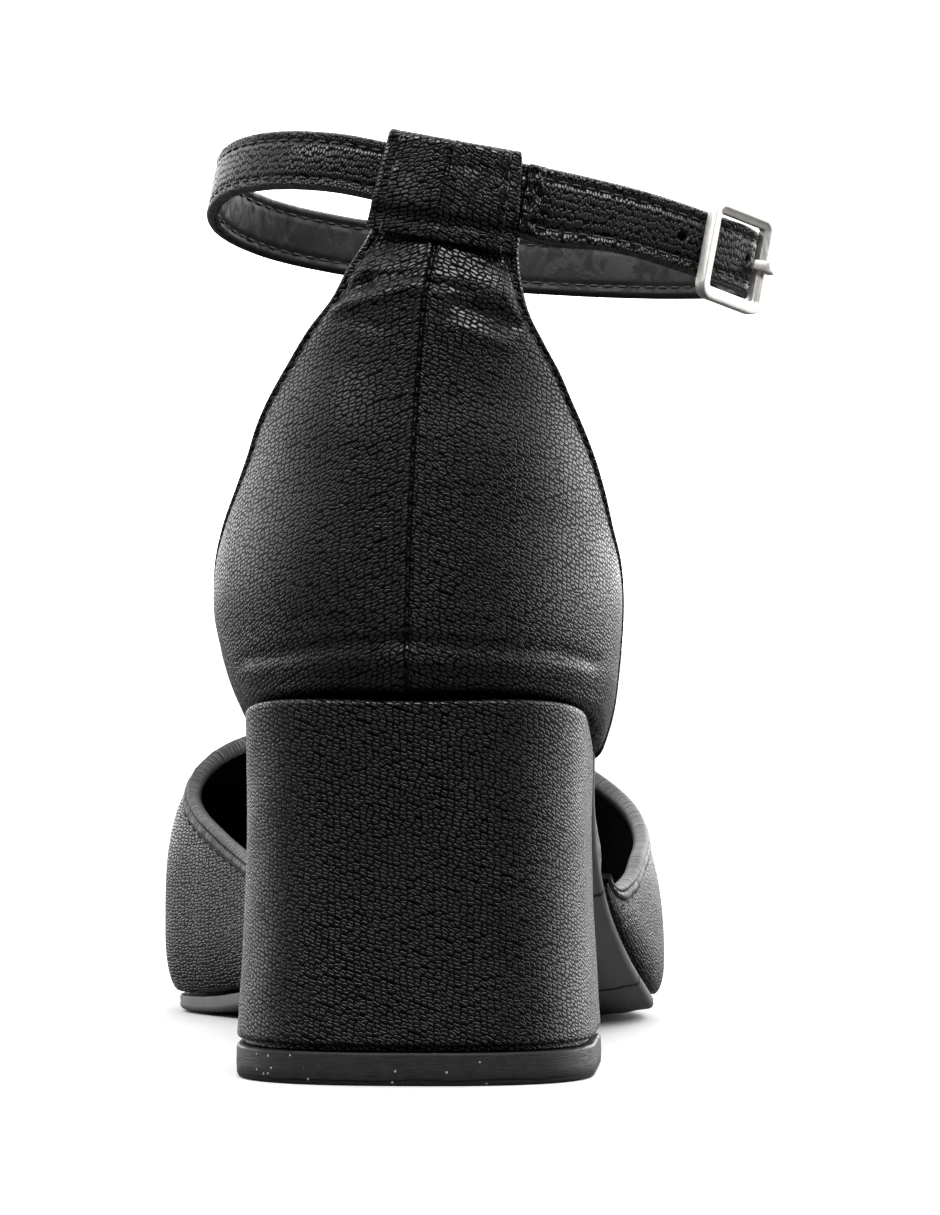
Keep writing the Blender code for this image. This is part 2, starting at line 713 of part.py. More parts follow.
def heel_rings():
    rings = []
    top = HEEL_LEVELS[0]
    for level in HEEL_LEVELS:
        fall = ramp(level.height, LIFT_HEIGHT, top.height)
        ring = []
        for across, station in heel_outline(level):
            seat = float(bottom_height(station)) - GAP
            ring.append((across, station, level.height + fall * (seat - top.height)))
        rings.append(ring)
    low = HEEL_LEVELS[-1]
    for height in (low.height, LIFT_HEIGHT + GAP):
        outline = heel_outline(low, LIFT_GROOVE_DEPTH)
        rings.append([(across, station, height) for across, station in outline])
    return rings


def mirrored_solid(name, rings):
    """Closed solid from half rings that run from the front to the back line, mirrored in x."""
    bm = bmesh.new()
    right = [[bm.verts.new(Vector(p)) for p in ring] for ring in rings]
    left = [[bm.verts.new(Vector((-p[0], p[1], p[2]))) for p in ring] for ring in rings]
    count = len(rings[0])
    for upper, lower in zip(range(len(rings)), range(1, len(rings))):
        for k in range(count - 1):
            bm.faces.new((right[upper][k], right[upper][k + 1], right[lower][k + 1], right[lower][k]))
            bm.faces.new((left[upper][k + 1], left[upper][k], left[lower][k], left[lower][k + 1]))
        bm.faces.new((left[upper][0], right[upper][0], right[lower][0], left[lower][0]))
    for end in (0, -1):
        for k in range(count - 1):
            bm.faces.new((right[end][k], left[end][k], left[end][k + 1], right[end][k + 1]))
    bmesh.ops.remove_doubles(bm, verts=bm.verts, dist=1e-6)
    bmesh.ops.dissolve_degenerate(bm, edges=bm.edges, dist=1e-6)
    bmesh.ops.recalc_face_normals(bm, faces=bm.faces)
    mesh = bpy.data.meshes.new(name)
    bm.to_mesh(mesh)
    bm.free()
    return mesh


def make_heel(material, collection, parent):
    mesh = mirrored_solid("heel_block", heel_rings())
    mesh.transform(Matrix.Translation((HEEL_SHIFT, 0.0, 0.0)))
    return add_object("heel_block", mesh, material, collection, parent)


def make_top_lift(material, collection, parent):
    low = HEEL_LEVELS[-1]
    edge = 0.0007
    rings = []
    for height, inset in ((LIFT_HEIGHT, 0.0002), (LIFT_HEIGHT - edge, 0.0), (edge, -0.0001), (0.0, edge)):
        rings.append([(across, station, height) for across, station in heel_outline(low, inset)])
    mesh = mirrored_solid("top_lift", rings)
    mesh.transform(Matrix.Translation((HEEL_SHIFT, 0.0, 0.0)))
    return add_object("top_lift", mesh, material, collection, parent)


def sole_section(station):
    """Ring of the outsole at a station: across the top, round the outer edge and back underneath."""
    medial, lateral = bottom_edges(station)
    middle, half = (medial + lateral) / 2, (lateral - medial) / 2
    top = float(bottom_height(station)) - GAP
    low = max(top - SOLE_THICKNESS + GAP, 0.0)
    r = min(SOLE_EDGE_ROUND, half * 0.4)
    ring = []
    for sign, camber in ((1, CAMBER_LATERAL), (-1, CAMBER_MEDIAL)):
        side = sole_side(half, top, low, camber * ramp(half, 0.0, 0.012), r)
        points = [(middle + sign * a, station, z) for a, z in side]
        ring += points if sign > 0 else points[::-1]
    return ring


def sole_side(half, top, low, lift, r):
    """Half section of the outsole, from the top edge round to the middle of the tread."""
    return [
        (half - 0.3 * r, top),
        (half, top - 0.3 * r),
        (half, low + r + lift),
        (half - 0.5 * r, low + 0.3 * r + lift),
        (half * 0.90 - r, low + lift * 0.45),
        (half * 0.62, low),
        (half * 0.30, low),
    ]


def make_outsole(material, collection, parent):
    waist = np.linspace(HEEL_BREAST, 0.150, 17).tolist()
    stations = waist + toe_spaced(waist[-1], SOLE_LENGTH - 0.00004, 17)[1:]
    rings = [sole_section(station) for station in stations]
    mesh = grid_mesh("outsole", rings, closed_across=True, cap_ends=True)
    return add_object("outsole", mesh, material, collection, parent)


def insole_edges(station, waist):
    """Inner and outer edge of the insole, clear of the upper's walls where there are any."""
    inset = INSOLE_INSET_LASTED + (INSOLE_INSET_WAIST - INSOLE_INSET_LASTED) * waist
    medial, lateral = bottom_edges(station)
    if station > TOE_START:
        stretch = (SOLE_LENGTH - TOE_START) / (SOLE_LENGTH - TOE_START - INSOLE_INSET_TOE)
        medial, lateral = bottom_edges(TOE_START + (station - TOE_START) * stretch)
        middle, half = (medial + lateral) / 2, (lateral - medial) / 2
        shrink = 1 - 2 * inset / (BOTTOM_EDGES[-1].lateral - BOTTOM_EDGES[-1].medial)
        return middle - half * shrink, middle + half * shrink
    medial, lateral = medial + inset, lateral - inset
    if station < QUARTER_FRONT + 0.0020:
        seat = QUARTER_LEVELS[0]
        clear = QUARTER_WALL + 0.0007
        centre = seat.back + seat.run
        behind = max(centre - station, 0.0) / (seat.run - clear)
        half = (seat.half - clear) * math.sqrt(max(1 - behind**2, 0.0))
        half -= WAIST_DRAW_IN * (max(station - centre, 0.0) / seat.run) ** 2
        medial, lateral = max(medial, -half), min(lateral, half)
    return medial, lateral


def insole_rabbet(station, edge):
    """Half width of the part of the insole that reaches down between the turned-in lips."""
    lip = LIP_WIDTH + 0.0012
    seat = QUARTER_LEVELS[0]
    behind = max(seat.back + seat.run - station, 0.0) / (seat.run - lip - 0.0012)
    heel = (seat.half - lip) * math.sqrt(max(1 - behind**2, 0.0))
    medial, lateral = bottom_edges(min(station + lip, SOLE_LENGTH))
    toe = (lateral - medial) / 2 - lip
    return max(min(edge - LIP_WIDTH, heel, toe if station > TOE_START else edge), 0.0003)


def insole_section(station):
    """Ring of the insole: it fills between the turned-in lips and stands on the sole at the waist."""
    waist = ramp(station, QUARTER_FRONT + 0.0018, QUARTER_FRONT + 0.0028)
    waist *= 1 - ramp(station, VAMP_BACK - 0.0022, VAMP_BACK - 0.0010)
    medial, lateral = insole_edges(station, waist)
    middle, edge = (medial + lateral) / 2, (lateral - medial) / 2
    floor = float(bottom_height(station)) + GAP
    wall = QUARTER_WALL if station < 0.080 else VAMP_WALL
    step = (wall + 2 * GAP) * (1 - waist)
    top = floor + INSOLE_RISE - GAP
    edge = max(edge, 0.0006)
    rabbet = insole_rabbet(station, edge)
    low = floor + step * (1 - ramp(rabbet, 0.0010, 0.0040))
    side = [
        (edge * 0.45, top + INSOLE_CROWN * 0.2),
        (edge - min(0.0010, edge * 0.3), top + INSOLE_CROWN),
        (edge, top + INSOLE_CROWN - 0.0008),
        (edge, floor + step + 0.0002),
        (edge - min(0.0003, edge * 0.1), floor + step),
        (min(rabbet + 0.0002, edge * 0.8), floor + step),
        (min(rabbet, edge * 0.7), low),
    ]
    ring = [(middle + a, station, z) for a, z in side]
    ring += [(middle - a, station, z) for a, z in reversed(side)]
    return ring


def make_insole(material, collection, parent):
    heel = [0.0051, 0.0056, 0.0068, 0.0084, 0.0106, 0.0130, 0.0170, 0.0230, 0.0310, 0.0400, 0.0500, 0.0590]
    waist = [0.0618, 0.0628, 0.070, 0.080, 0.090, 0.0973, 0.0985, 0.105, 0.112, 0.124, 0.136, 0.148, 0.160]
    toe = toe_spaced(waist[-1], SOLE_LENGTH - INSOLE_INSET_TOE - 0.0001, 13)[1:]
    rings = [insole_section(station) for station in heel + waist + toe]
    mesh = grid_mesh("insole", rings, closed_across=True, cap_ends=True)
    return add_object("insole", mesh, material, collection, parent)


def main():
    for old in list(bpy.data.objects):
        bpy.data.objects.remove(old)
    scene = bpy.context.scene
    collection = bpy.data.collections.new("ankle_strap_shoe")
    cutters = bpy.data.collections.new("joined_shapes")
    for made in (collection, cutters):
        scene.collection.children.link(made)
    shoe = bpy.data.objects.new("shoe", None)
    shoe.location = SHOE_ORIGIN
    collection.objects.link(shoe)

    leather = make_material("black_grained_leather", (0.012, 0.012, 0.012), 0.42)
    lining = make_material("black_lining", (0.010, 0.010, 0.010), 0.60)
    rubber = make_material("black_rubber", (0.020, 0.020, 0.020), 0.50)
    nickel = make_material("polished_nickel", (0.80, 0.80, 0.80), 0.15, 1.0)

    make_top_lift(rubber, collection, shoe)
    make_heel(leather, collection, shoe)
    make_outsole(rubber, collection, shoe)
    make_insole(lining, collection, shoe)
    make_vamp(leather, collection, shoe)
    make_quarter(leather, collection, cutters, shoe)
    make_strap(leather, collection, shoe)
    make_keeper(leather, collection, shoe)
    make_buckle(nickel, collection, shoe)
    make_hook(nickel, collection, shoe)


main()
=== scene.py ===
# %% [markdown]
# # An ankle-strap shoe in black grained leather
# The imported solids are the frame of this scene: every piece below goes where its solid is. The
# solids have few faces, so each one is replaced by a finer piece made from the same sizes.

# %% Load the frame
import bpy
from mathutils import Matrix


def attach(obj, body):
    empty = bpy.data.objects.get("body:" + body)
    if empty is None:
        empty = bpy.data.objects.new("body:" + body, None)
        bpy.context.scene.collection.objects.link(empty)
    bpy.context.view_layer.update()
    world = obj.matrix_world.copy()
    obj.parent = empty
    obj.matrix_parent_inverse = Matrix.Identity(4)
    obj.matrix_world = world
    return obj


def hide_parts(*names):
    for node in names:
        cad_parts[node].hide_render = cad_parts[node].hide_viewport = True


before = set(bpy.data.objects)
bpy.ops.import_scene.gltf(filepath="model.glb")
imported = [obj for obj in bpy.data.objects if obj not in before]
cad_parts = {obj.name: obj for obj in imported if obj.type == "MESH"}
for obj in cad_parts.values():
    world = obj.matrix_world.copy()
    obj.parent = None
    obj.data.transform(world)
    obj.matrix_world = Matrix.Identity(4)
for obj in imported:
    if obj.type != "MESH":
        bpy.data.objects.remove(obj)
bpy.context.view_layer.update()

import math

import bmesh
import bpy
import numpy as np
from mathutils import Vector

print("solids:", sorted(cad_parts))

# %% [markdown]
# The shoe is drawn in its own frame in millimetres, as a shoemaker would measure it: x to the outer
# side, y forward from the back of the heel, z up from the floor. One constant moves that frame to
# the part's origin. Most pieces are lofts: rows of points joined by faces. Sculpting would give the
# same shapes, but rows of points keep to the measured tables, so that one loft function serves all.

# %% Lofts and small curve tools
MM = 0.001
SHOE_ORIGIN = np.array([-2.9, -115.0, 0.0])
SEAM_GAP = 0.3


def smooth(table, column, x):
    """Cubic curve through one column of a table whose first column is the running place."""
    rows = np.asarray(table, float)
    xs, ys = rows[:, 0], rows[:, column]
    x = np.clip(x, xs[0], xs[-1])
    steps = np.diff(xs)
    slopes = np.diff(ys) / steps
    tangents = np.empty_like(ys)
    tangents[1:-1] = (slopes[:-1] * steps[1:] + slopes[1:] * steps[:-1]) / (steps[:-1] + steps[1:])
    tangents[0], tangents[-1] = slopes[0], slopes[-1]
    i = np.clip(np.searchsorted(xs, x, side="right") - 1, 0, len(xs) - 2)
    t = (x - xs[i]) / steps[i]
    bend = (2 * t**3 - 3 * t**2 + 1) * ys[i] + (3 * t**2 - 2 * t**3) * ys[i + 1]
    return bend + steps[i] * ((t**3 - 2 * t**2 + t) * tangents[i] + (t**3 - t**2) * tangents[i + 1])


def ramp(x, low, high):
    """Smooth step from 0 at low to 1 at high."""
    t = np.clip((x - low) / (high - low), 0.0, 1.0)
    return t * t * (3 - 2 * t)


def bell(x, width):
    """Soft hump, 1 at 0 and almost gone at twice the width."""
    return np.exp(-((x / width) ** 2))


def unit(v):
    return v / np.maximum(np.linalg.norm(v, axis=-1, keepdims=True), 1e-9)


def run_of(points):
    """Distance along a line of points, from its first point."""
    return np.concatenate([[0.0], np.cumsum(np.linalg.norm(np.diff(points, axis=0), axis=1))])


def resample(points, places):
    """Points of a line at given distances along it."""
    run = run_of(points)
    return np.stack([np.interp(places, run, points[:, k]) for k in range(points.shape[1])], axis=-1)


def unevenness(u, v, size):
    """Slight waviness of hand work over places in millimetres, from about -1 to 1."""
    a = 2 * math.pi / size
    waves = np.sin(a * u + 1.3 * np.sin(0.7 * a * v + 0.5))
    waves = waves + np.sin(0.83 * a * v + 1.7 * np.sin(0.61 * a * u + 2.1))
    return (waves + np.sin(a * (0.6 * u + 0.55 * v) + 4.0)) / 3


def finish_mesh(mesh, sharp=40):
    """Closes the seams of a mesh, turns its faces outwards and shades it smooth."""
    bm = bmesh.new()
    bm.from_mesh(mesh)
    bmesh.ops.remove_doubles(bm, verts=bm.verts, dist=2e-6)
    bmesh.ops.dissolve_degenerate(bm, dist=1e-7, edges=bm.edges)
    bmesh.ops.recalc_face_normals(bm, faces=bm.faces)
    bm.to_mesh(mesh)
    bm.free()
    mesh.shade_smooth()
    mesh.set_sharp_from_angle(angle=math.radians(sharp))


def mark_places(mesh, place, across):
    """Keeps each face corner's place along and across the hide, in millimetres, for its grain."""
    if place.shape[1] == across:
        place = np.concatenate([place, place[:, :1]], axis=1)
    corners = (place[:-1, :-1], place[:-1, 1:], place[1:, 1:], place[1:, :-1])
    corners = np.stack(corners, axis=2).reshape(-1).astype(np.float32)
    values = np.zeros(len(mesh.loops) * 3, np.float32)
    values[: len(corners)] = corners
    mesh.attributes.new("place", "FLOAT_VECTOR", "CORNER").data.foreach_set("vector", values)


def loft(name, grid, finishes, around=False, caps=False, paint=None, place=None, sharp=40):
    """Object through rows of points in millimetres; paint picks a finish for each face column."""
    grid = np.asarray(grid, float)
    rows, cols = grid.shape[:2]
    across = cols if around else cols - 1
    start = np.arange(rows - 1)[:, None] * cols
    here = start + np.arange(across)
    beside = start + (np.arange(across) + 1) % cols
    faces = np.stack([here, beside, beside + cols, here + cols], axis=-1).reshape(-1, 4).tolist()
    if caps:
        faces += [list(range(cols))[::-1], list(range((rows - 1) * cols, rows * cols))]
    mesh = bpy.data.meshes.new(name)
    mesh.from_pydata(((grid.reshape(-1, 3) + SHOE_ORIGIN) * MM).tolist(), [], faces)
    if paint is not None:
        shades = np.zeros(len(faces), int)
        shades[: (rows - 1) * across] = np.tile(np.asarray(paint)[:across], rows - 1)
        mesh.polygons.foreach_set("material_index", shades.tolist())
    if place is not None:
        mark_places(mesh, np.stack(np.broadcast_arrays(*place, 0.0), axis=-1), across)
    finish_mesh(mesh, sharp)
    for finish in finishes:
        mesh.materials.append(finish)
    made = bpy.data.objects.new(name, mesh)
    bpy.context.scene.collection.objects.link(made)
    return made


def normals_of(grid):
    """Unit normals of a grid of points."""
    return unit(np.cross(np.gradient(grid, axis=1), np.gradient(grid, axis=0)))


def report(piece):
    print(piece.name, "faces:", len(piece.data.polygons))


# %% [markdown]
# The photograph looks at the back of the heel from far away with a long lens, a little from the
# outer side and from above. The camera's place was found by matching known points of the solids.

# %% Camera at the photograph's angle
EYE = (103.72, -1797.03, 145.05)
AIM = (9.52, 0.50, 75.35)
LENS = 341.33


def to_part(point):
    """Point of the shoe's own frame in the part's frame, in metres."""
    return Vector((np.asarray(point, float) + SHOE_ORIGIN) * MM)


camera_data = bpy.data.cameras.new("photo_camera")
camera_data.lens = LENS
camera_data.sensor_width = 36.0
camera_data.clip_start = 0.1
camera = bpy.data.objects.new("photo_camera", camera_data)
camera.location = to_part(EYE)
camera.rotation_euler = (to_part(AIM) - to_part(EYE)).to_track_quat("-Z", "Y").to_euler()
bpy.context.scene.collection.objects.link(camera)
bpy.context.scene.camera = camera
print("camera stands", round((to_part(AIM) - to_part(EYE)).length, 3), "m away")

# %% [markdown]
# Materials come before the pieces, because each loft is given its finish as it is made.
# All of them are node trees on object coordinates, or on the places in millimetres that a loft
# keeps for its grain, so a pattern has its real size on every piece. Image textures would be
# quicker, but they would need unwrapped pieces and files beside the script.

# %% One function for colours and one for nodes


def linear(colour):
    """Linear colour of an sRGB hex value."""
    parts = [int(colour[i : i + 2], 16) / 255 for i in (1, 3, 5)]
    return [p / 12.92 if p <= 0.04045 else ((p + 0.055) / 1.055) ** 2.4 for p in parts] + [1.0]


def node(tree, kind, links=None, **settings):
    """Adds a node; links gives inputs, by name or in order, a value or another node's output."""
    made = tree.nodes.new(kind)
    for name, value in settings.items():
        setattr(made, name, value)
    links = dict(enumerate(links)) if isinstance(links, list) else links or {}
    for name, source in links.items():
        if isinstance(source, bpy.types.NodeSocket):
            tree.links.new(source, made.inputs[name])
        else:
            made.inputs[name].default_value = source
    return made


# Settings for a value moved smoothly from one range to another, and for a blend of two colours
EASED = {"interpolation_type": "SMOOTHSTEP"}
COLOURS = {"data_type": "RGBA"}


def new_finish(name, metallic=0.0, **fixed):
    """Empty material with its shader; fixed gives values that are the same all over the surface."""
    material = bpy.data.materials.new(name)
    material.use_nodes = True
    tree = material.node_tree
    shader = tree.nodes["Principled BSDF"]
    shader.inputs["Metallic"].default_value = metallic
    for socket, value in fixed.items():
        shader.inputs[socket.replace("_", " ")].default_value = value
    return material, tree, shader


def shade(tree, shader, colour, roughness, height, depth):
    """Links the colour, roughness and relief of a finish; depth is the relief in millimetres."""
    relief = node(tree, "ShaderNodeBump", {"Height": height, "Distance": depth * MM, "Strength": 1.0})
    tree.links.new(colour, shader.inputs["Base Color"])
    tree.links.new(roughness, shader.inputs["Roughness"])
    tree.links.new(relief.outputs["Normal"], shader.inputs["Normal"])


# %% [markdown]
# The upper, the strap and the heel cover are one hide: black pebbled leather with a semi-gloss
# finish. Its pebbles are flat plates about 1.1 mm wide and 0.7 mm high, longer across the shoe than
# up it, with valleys that are widest between the rows. On the two halves of the back they
# slope down from the seam, as the hide was pulled over the last. One cell texture gives the plates'
# edges. A second gives the plates' middles, from which the gaps between rows are measured, and noise
# bends the rows. The valleys are painted black in the colour and dark in the gloss tint: painted
# shade for the shadow in them, carried by colour and gloss because bump alone looks cracked.

# %% Grained leather
PEBBLE = (1.10, 0.68)
PEBBLE_BEND = 0.9
PEBBLE_JITTER = 0.70
VALLEY = (0.02, 0.26)
ROW_GAP = (0.26, 0.46)
VALLEY_DULL = 0.3
RUBBED_PATCH = 17.0


def grained_leather(name, top, valley_shade, pebble=PEBBLE, slope=0.0, depth=0.07, gloss=(0.22, 0.33)):
    """Pebbled hide: satin plates between matt valleys, with slow changes from rubbing."""
    material, tree, shader = new_finish(name, IOR=1.52)
    where = node(tree, "ShaderNodeTexCoord").outputs["Object"]
    place = node(tree, "ShaderNodeAttribute", attribute_name="place").outputs["Vector"]
    axes = node(tree, "ShaderNodeSeparateXYZ", [place]).outputs
    aside = node(tree, "ShaderNodeMath", [axes["X"]], operation="ABSOLUTE").outputs[0]
    level = node(tree, "ShaderNodeMath", [aside, slope, axes["Y"]], operation="MULTIPLY_ADD").outputs[0]
    pulled = node(tree, "ShaderNodeCombineXYZ", [axes["X"], level]).outputs[0]
    sizes = (1 / pebble[0], 1 / pebble[1], 1.0)
    cells = node(tree, "ShaderNodeMapping", {"Vector": pulled, "Scale": sizes}).outputs["Vector"]
    drift = node(tree, "ShaderNodeTexNoise", {"Vector": cells, "Scale": 0.42, "Detail": 3.0})
    push = node(tree, "ShaderNodeVectorMath", [drift.outputs["Color"], (0.5,) * 3], operation="SUBTRACT")
    bent = [push.outputs[0], (PEBBLE_BEND,) * 3, cells]
    bent = node(tree, "ShaderNodeVectorMath", bent, operation="MULTIPLY_ADD").outputs[0]
    cell = {"Vector": bent, "Scale": 1.0, "Randomness": PEBBLE_JITTER}
    edges = node(tree, "ShaderNodeTexVoronoi", cell, feature="DISTANCE_TO_EDGE", voronoi_dimensions="2D")
    edges = [edges.outputs["Distance"], *VALLEY, 0.0, 1.0]
    edges = node(tree, "ShaderNodeMapRange", edges, **EASED).outputs[0]
    heart = node(tree, "ShaderNodeTexVoronoi", cell, feature="F1", voronoi_dimensions="2D")
    off = [bent, heart.outputs["Position"]]
    off = node(tree, "ShaderNodeVectorMath", off, operation="SUBTRACT").outputs[0]
    off = node(tree, "ShaderNodeSeparateXYZ", [off]).outputs["Y"]
    off = node(tree, "ShaderNodeMath", [off], operation="ABSOLUTE").outputs[0]
    row = node(tree, "ShaderNodeMapRange", [off, *ROW_GAP, 1.0, 0.0], **EASED).outputs[0]
    rise = node(tree, "ShaderNodeMath", [edges, row], operation="MINIMUM").outputs[0]
    pores = node(tree, "ShaderNodeTexNoise", {"Vector": cells, "Scale": 3.0, "Detail": 2.0}).outputs["Fac"]
    rubbed = {"Vector": where, "Scale": 1 / (RUBBED_PATCH * MM), "Detail": 2.0}
    rubbed = node(tree, "ShaderNodeTexNoise", rubbed).outputs["Fac"]
    worn = node(tree, "ShaderNodeMapRange", [rubbed, 0.35, 0.65, *gloss], **EASED).outputs[0]
    height = node(tree, "ShaderNodeMath", [pores, 0.15, rise], operation="MULTIPLY_ADD").outputs[0]
    dull = [rise, -VALLEY_DULL, VALLEY_DULL]
    dull = node(tree, "ShaderNodeMath", dull, operation="MULTIPLY_ADD").outputs[0]
    rough = node(tree, "ShaderNodeMath", [worn, dull], operation="ADD").outputs[0]
    # The valleys get the darker second colour: painted shade in the gaps between plates.
    tone = node(tree, "ShaderNodeMix", {0: rise, 6: linear(valley_shade), 7: linear(top)}, **COLOURS)
    shade(tree, shader, tone.outputs[2], rough, height, depth)
    # The gloss is tinted dark in the valleys: painted shade on the reflection there.
    valley_gloss_shade = node(tree, "ShaderNodeMix", {0: rise, 6: linear("#101010"), 7: linear("#ffffff")}, **COLOURS)
    tree.links.new(valley_gloss_shade.outputs[2], shader.inputs["Specular Tint"])
    return material


# Each hide's second colour is the painted shade of its valleys.
hide = grained_leather("black_pebbled_leather", "#090808", "#010101", slope=0.42)
# The vamp's copy of the hide is coloured a little paler than the rest: painted light for the brighter light
# that falls on the vamp.
vamp_hide_painted_paler = grained_leather("black_pebbled_leather_vamp", "#100f0f", "#010101", (1.25, 0.60), depth=0.14)
heel_hide = grained_leather("black_pebbled_leather_heel", "#070606", "#010101", (1.05, 0.68), -0.35, 0.06)
strap_hide = grained_leather("black_pebbled_leather_strap", "#080707", "#010101", (0.46, 1.10), depth=0.06)
print("leathers:", hide.name, vamp_hide_painted_paler.name, heel_hide.name, strap_hide.name)

# %% [markdown]
# Edges that are turned over and sewn, such as the binding and the strap's rims, are the same hide
# stretched round a tight bend: the grain opens into small ribs across the edge. The ribs run on the
# piece's own place attribute, which counts millimetres along the edge.

# %% Rolled leather edges
RIB_SPACING = 0.55


def rolled_leather(name, top, valley_shade, spacing=RIB_SPACING, depth=0.09):
    material, tree, shader = new_finish(name, IOR=1.50, Coat_Weight=0.08, Coat_Roughness=0.3)
    place = node(tree, "ShaderNodeAttribute", attribute_name="place").outputs["Vector"]
    ribs = node(tree, "ShaderNodeMapping", {"Vector": place, "Scale": (1 / spacing, 0.16, 0.16)})
    ribs = node(tree, "ShaderNodeTexNoise", {"Vector": ribs.outputs["Vector"], "Scale": 1.0, "Detail": 2.5})
    where = node(tree, "ShaderNodeTexCoord").outputs["Object"]
    grain = node(tree, "ShaderNodeTexNoise", {"Vector": where, "Scale": 1 / (0.5 * MM), "Detail": 2.0})
    rise = [ribs.outputs["Fac"], 0.38, 0.62, 0.0, 1.0]
    rise = node(tree, "ShaderNodeMapRange", rise, **EASED).outputs[0]
    height = [grain.outputs["Fac"], 0.35, rise]
    height = node(tree, "ShaderNodeMath", height, operation="MULTIPLY_ADD").outputs[0]
    rough = node(tree, "ShaderNodeMapRange", [height, 0.0, 1.3, 0.62, 0.40], **EASED).outputs[0]
    # The rib grooves get the darker second colour: painted shade in the grooves.
    tone = node(tree, "ShaderNodeMix", {0: rise, 6: linear(valley_shade), 7: linear(top)}, **COLOURS)
    shade(tree, shader, tone.outputs[2], rough, height, depth)
    return material


edge_hide = rolled_leather("turned_leather_edge", "#191818", "#060606")
print("edges:", edge_hide.name)

# %% [markdown]
# Inside, the shoe is lined with a smooth dark leather that creases finely where it bends.
# The insole is wrapped in it too. Its grain is too fine to show, so only its creases are drawn; they
# are coloured darker, as painted shade in them. The insole's copy is coloured paler than the lining,
# as painted light for the light that catches it.

# %% Lining leather


def lining_leather(name, light, dark, crease=(2.2, 2.2, 5.0)):
    material, tree, shader = new_finish(name, IOR=1.48, Specular_IOR_Level=0.3)
    where = node(tree, "ShaderNodeTexCoord").outputs["Object"]
    sizes = [1 / (c * MM) for c in crease]
    spots = node(tree, "ShaderNodeMapping", {"Vector": where, "Scale": sizes}).outputs["Vector"]
    creases = {"Vector": spots, "Scale": 1.0, "Detail": 4.0, "Distortion": 0.8}
    creases = node(tree, "ShaderNodeTexNoise", creases).outputs["Fac"]
    fine = node(tree, "ShaderNodeTexNoise", {"Vector": where, "Scale": 1 / (0.35 * MM), "Detail": 2.0})
    lines = node(tree, "ShaderNodeMapRange", [creases, 0.34, 0.56, 0.0, 1.0], **EASED).outputs[0]
    height = [fine.outputs["Fac"], 0.25, lines]
    height = node(tree, "ShaderNodeMath", height, operation="MULTIPLY_ADD").outputs[0]
    rough = node(tree, "ShaderNodeMapRange", [height, 0.0, 1.2, 0.7, 0.48], **EASED).outputs[0]
    # The creases get the darker colour: painted shade in them.
    tone = node(tree, "ShaderNodeMix", {0: lines, 6: linear(dark), 7: linear(light)}, **COLOURS)
    shade(tree, shader, tone.outputs[2], rough, height, 0.06)
    return material


lining = lining_leather("black_lining_leather", "#0f0f0f", "#070707")
# The insole's copy of the lining is coloured paler: painted light for the light that catches it.
insole_leather_painted_paler = lining_leather("black_insole_leather", "#1f1f1f", "#121212", (1.3, 1.3, 1.3))
print("linings:", lining.name, insole_leather_painted_paler.name)

# %% [markdown]
# The thread is black bonded polyester. In the back seam it is coloured grey, a painted highlight for
# the glints on those stitches. Its twist is about 0.3 mm, just too fine for the picture, so it is
# drawn as slanted noise at 0.4 mm. New thread is a little shiny.

# %% Thread
TWIST = 0.4


def sewing_thread(name, dark, light):
    """Twisted thread of one colour."""
    material, tree, shader = new_finish(name, IOR=1.55, Sheen_Weight=0.05)
    where = node(tree, "ShaderNodeTexCoord").outputs["Object"]
    twist = {"Vector": where, "Scale": [1 / (TWIST * MM)] * 3, "Rotation": (0.6, 0.4, 0.8)}
    twist = node(tree, "ShaderNodeMapping", twist).outputs["Vector"]
    strands = node(tree, "ShaderNodeTexNoise", {"Vector": twist, "Scale": 1.0, "Detail": 1.0}).outputs["Fac"]
    tone = node(tree, "ShaderNodeMix", {0: strands, 6: linear(dark), 7: linear(light)}, **COLOURS)
    rough = node(tree, "ShaderNodeMapRange", [strands, 0.3, 0.7, 0.6, 0.42], **EASED).outputs[0]
    shade(tree, shader, tone.outputs[2], rough, strands, 0.08)
    return material


thread = sewing_thread("black_bonded_thread", "#020202", "#0d0d0d")
# The seam thread's grey is a painted highlight for the glints on its stitches.
seam_thread_painted_glint = sewing_thread("grey_bonded_thread", "#3c3c3b", "#8c8b89")
print("threads:", thread.name, seam_thread_painted_glint.name)

# %% [markdown]
# The top lift is moulded polyurethane, dark grey and satin, with fine scuffs from walking and
# pale specks of dust. A wavy dark line near its foot is where the mould's flash was trimmed.

# %% Moulded top lift
LIFT_LINE = 0.35
SCUFF = (3.0, 3.0, 0.25)
MOTTLE, DUST_SPACING, LINE_WAVE = 1.6, 2.1, 7.0
lift_plastic, tree, shader = new_finish("moulded_polyurethane", IOR=1.50, Specular_IOR_Level=0.25)
where = node(tree, "ShaderNodeTexCoord").outputs["Object"]
scuff = {"Vector": where, "Scale": [1 / (size * MM) for size in SCUFF]}
scuff = node(tree, "ShaderNodeMapping", scuff).outputs["Vector"]
scuff = node(tree, "ShaderNodeTexNoise", {"Vector": scuff, "Scale": 1.0, "Detail": 4.0}).outputs["Fac"]
mottle = {"Vector": where, "Scale": 1 / (MOTTLE * MM), "Detail": 3.0}
mottle = node(tree, "ShaderNodeTexNoise", mottle).outputs["Fac"]
dust = {"Vector": where, "Scale": 1 / (DUST_SPACING * MM), "Randomness": 1.0}
dust = node(tree, "ShaderNodeTexVoronoi", dust).outputs["Distance"]
speck = node(tree, "ShaderNodeMapRange", [dust, 0.07, 0.11, 1.0, 0.0], **EASED).outputs[0]
level = node(tree, "ShaderNodeSeparateXYZ", [where]).outputs["Z"]
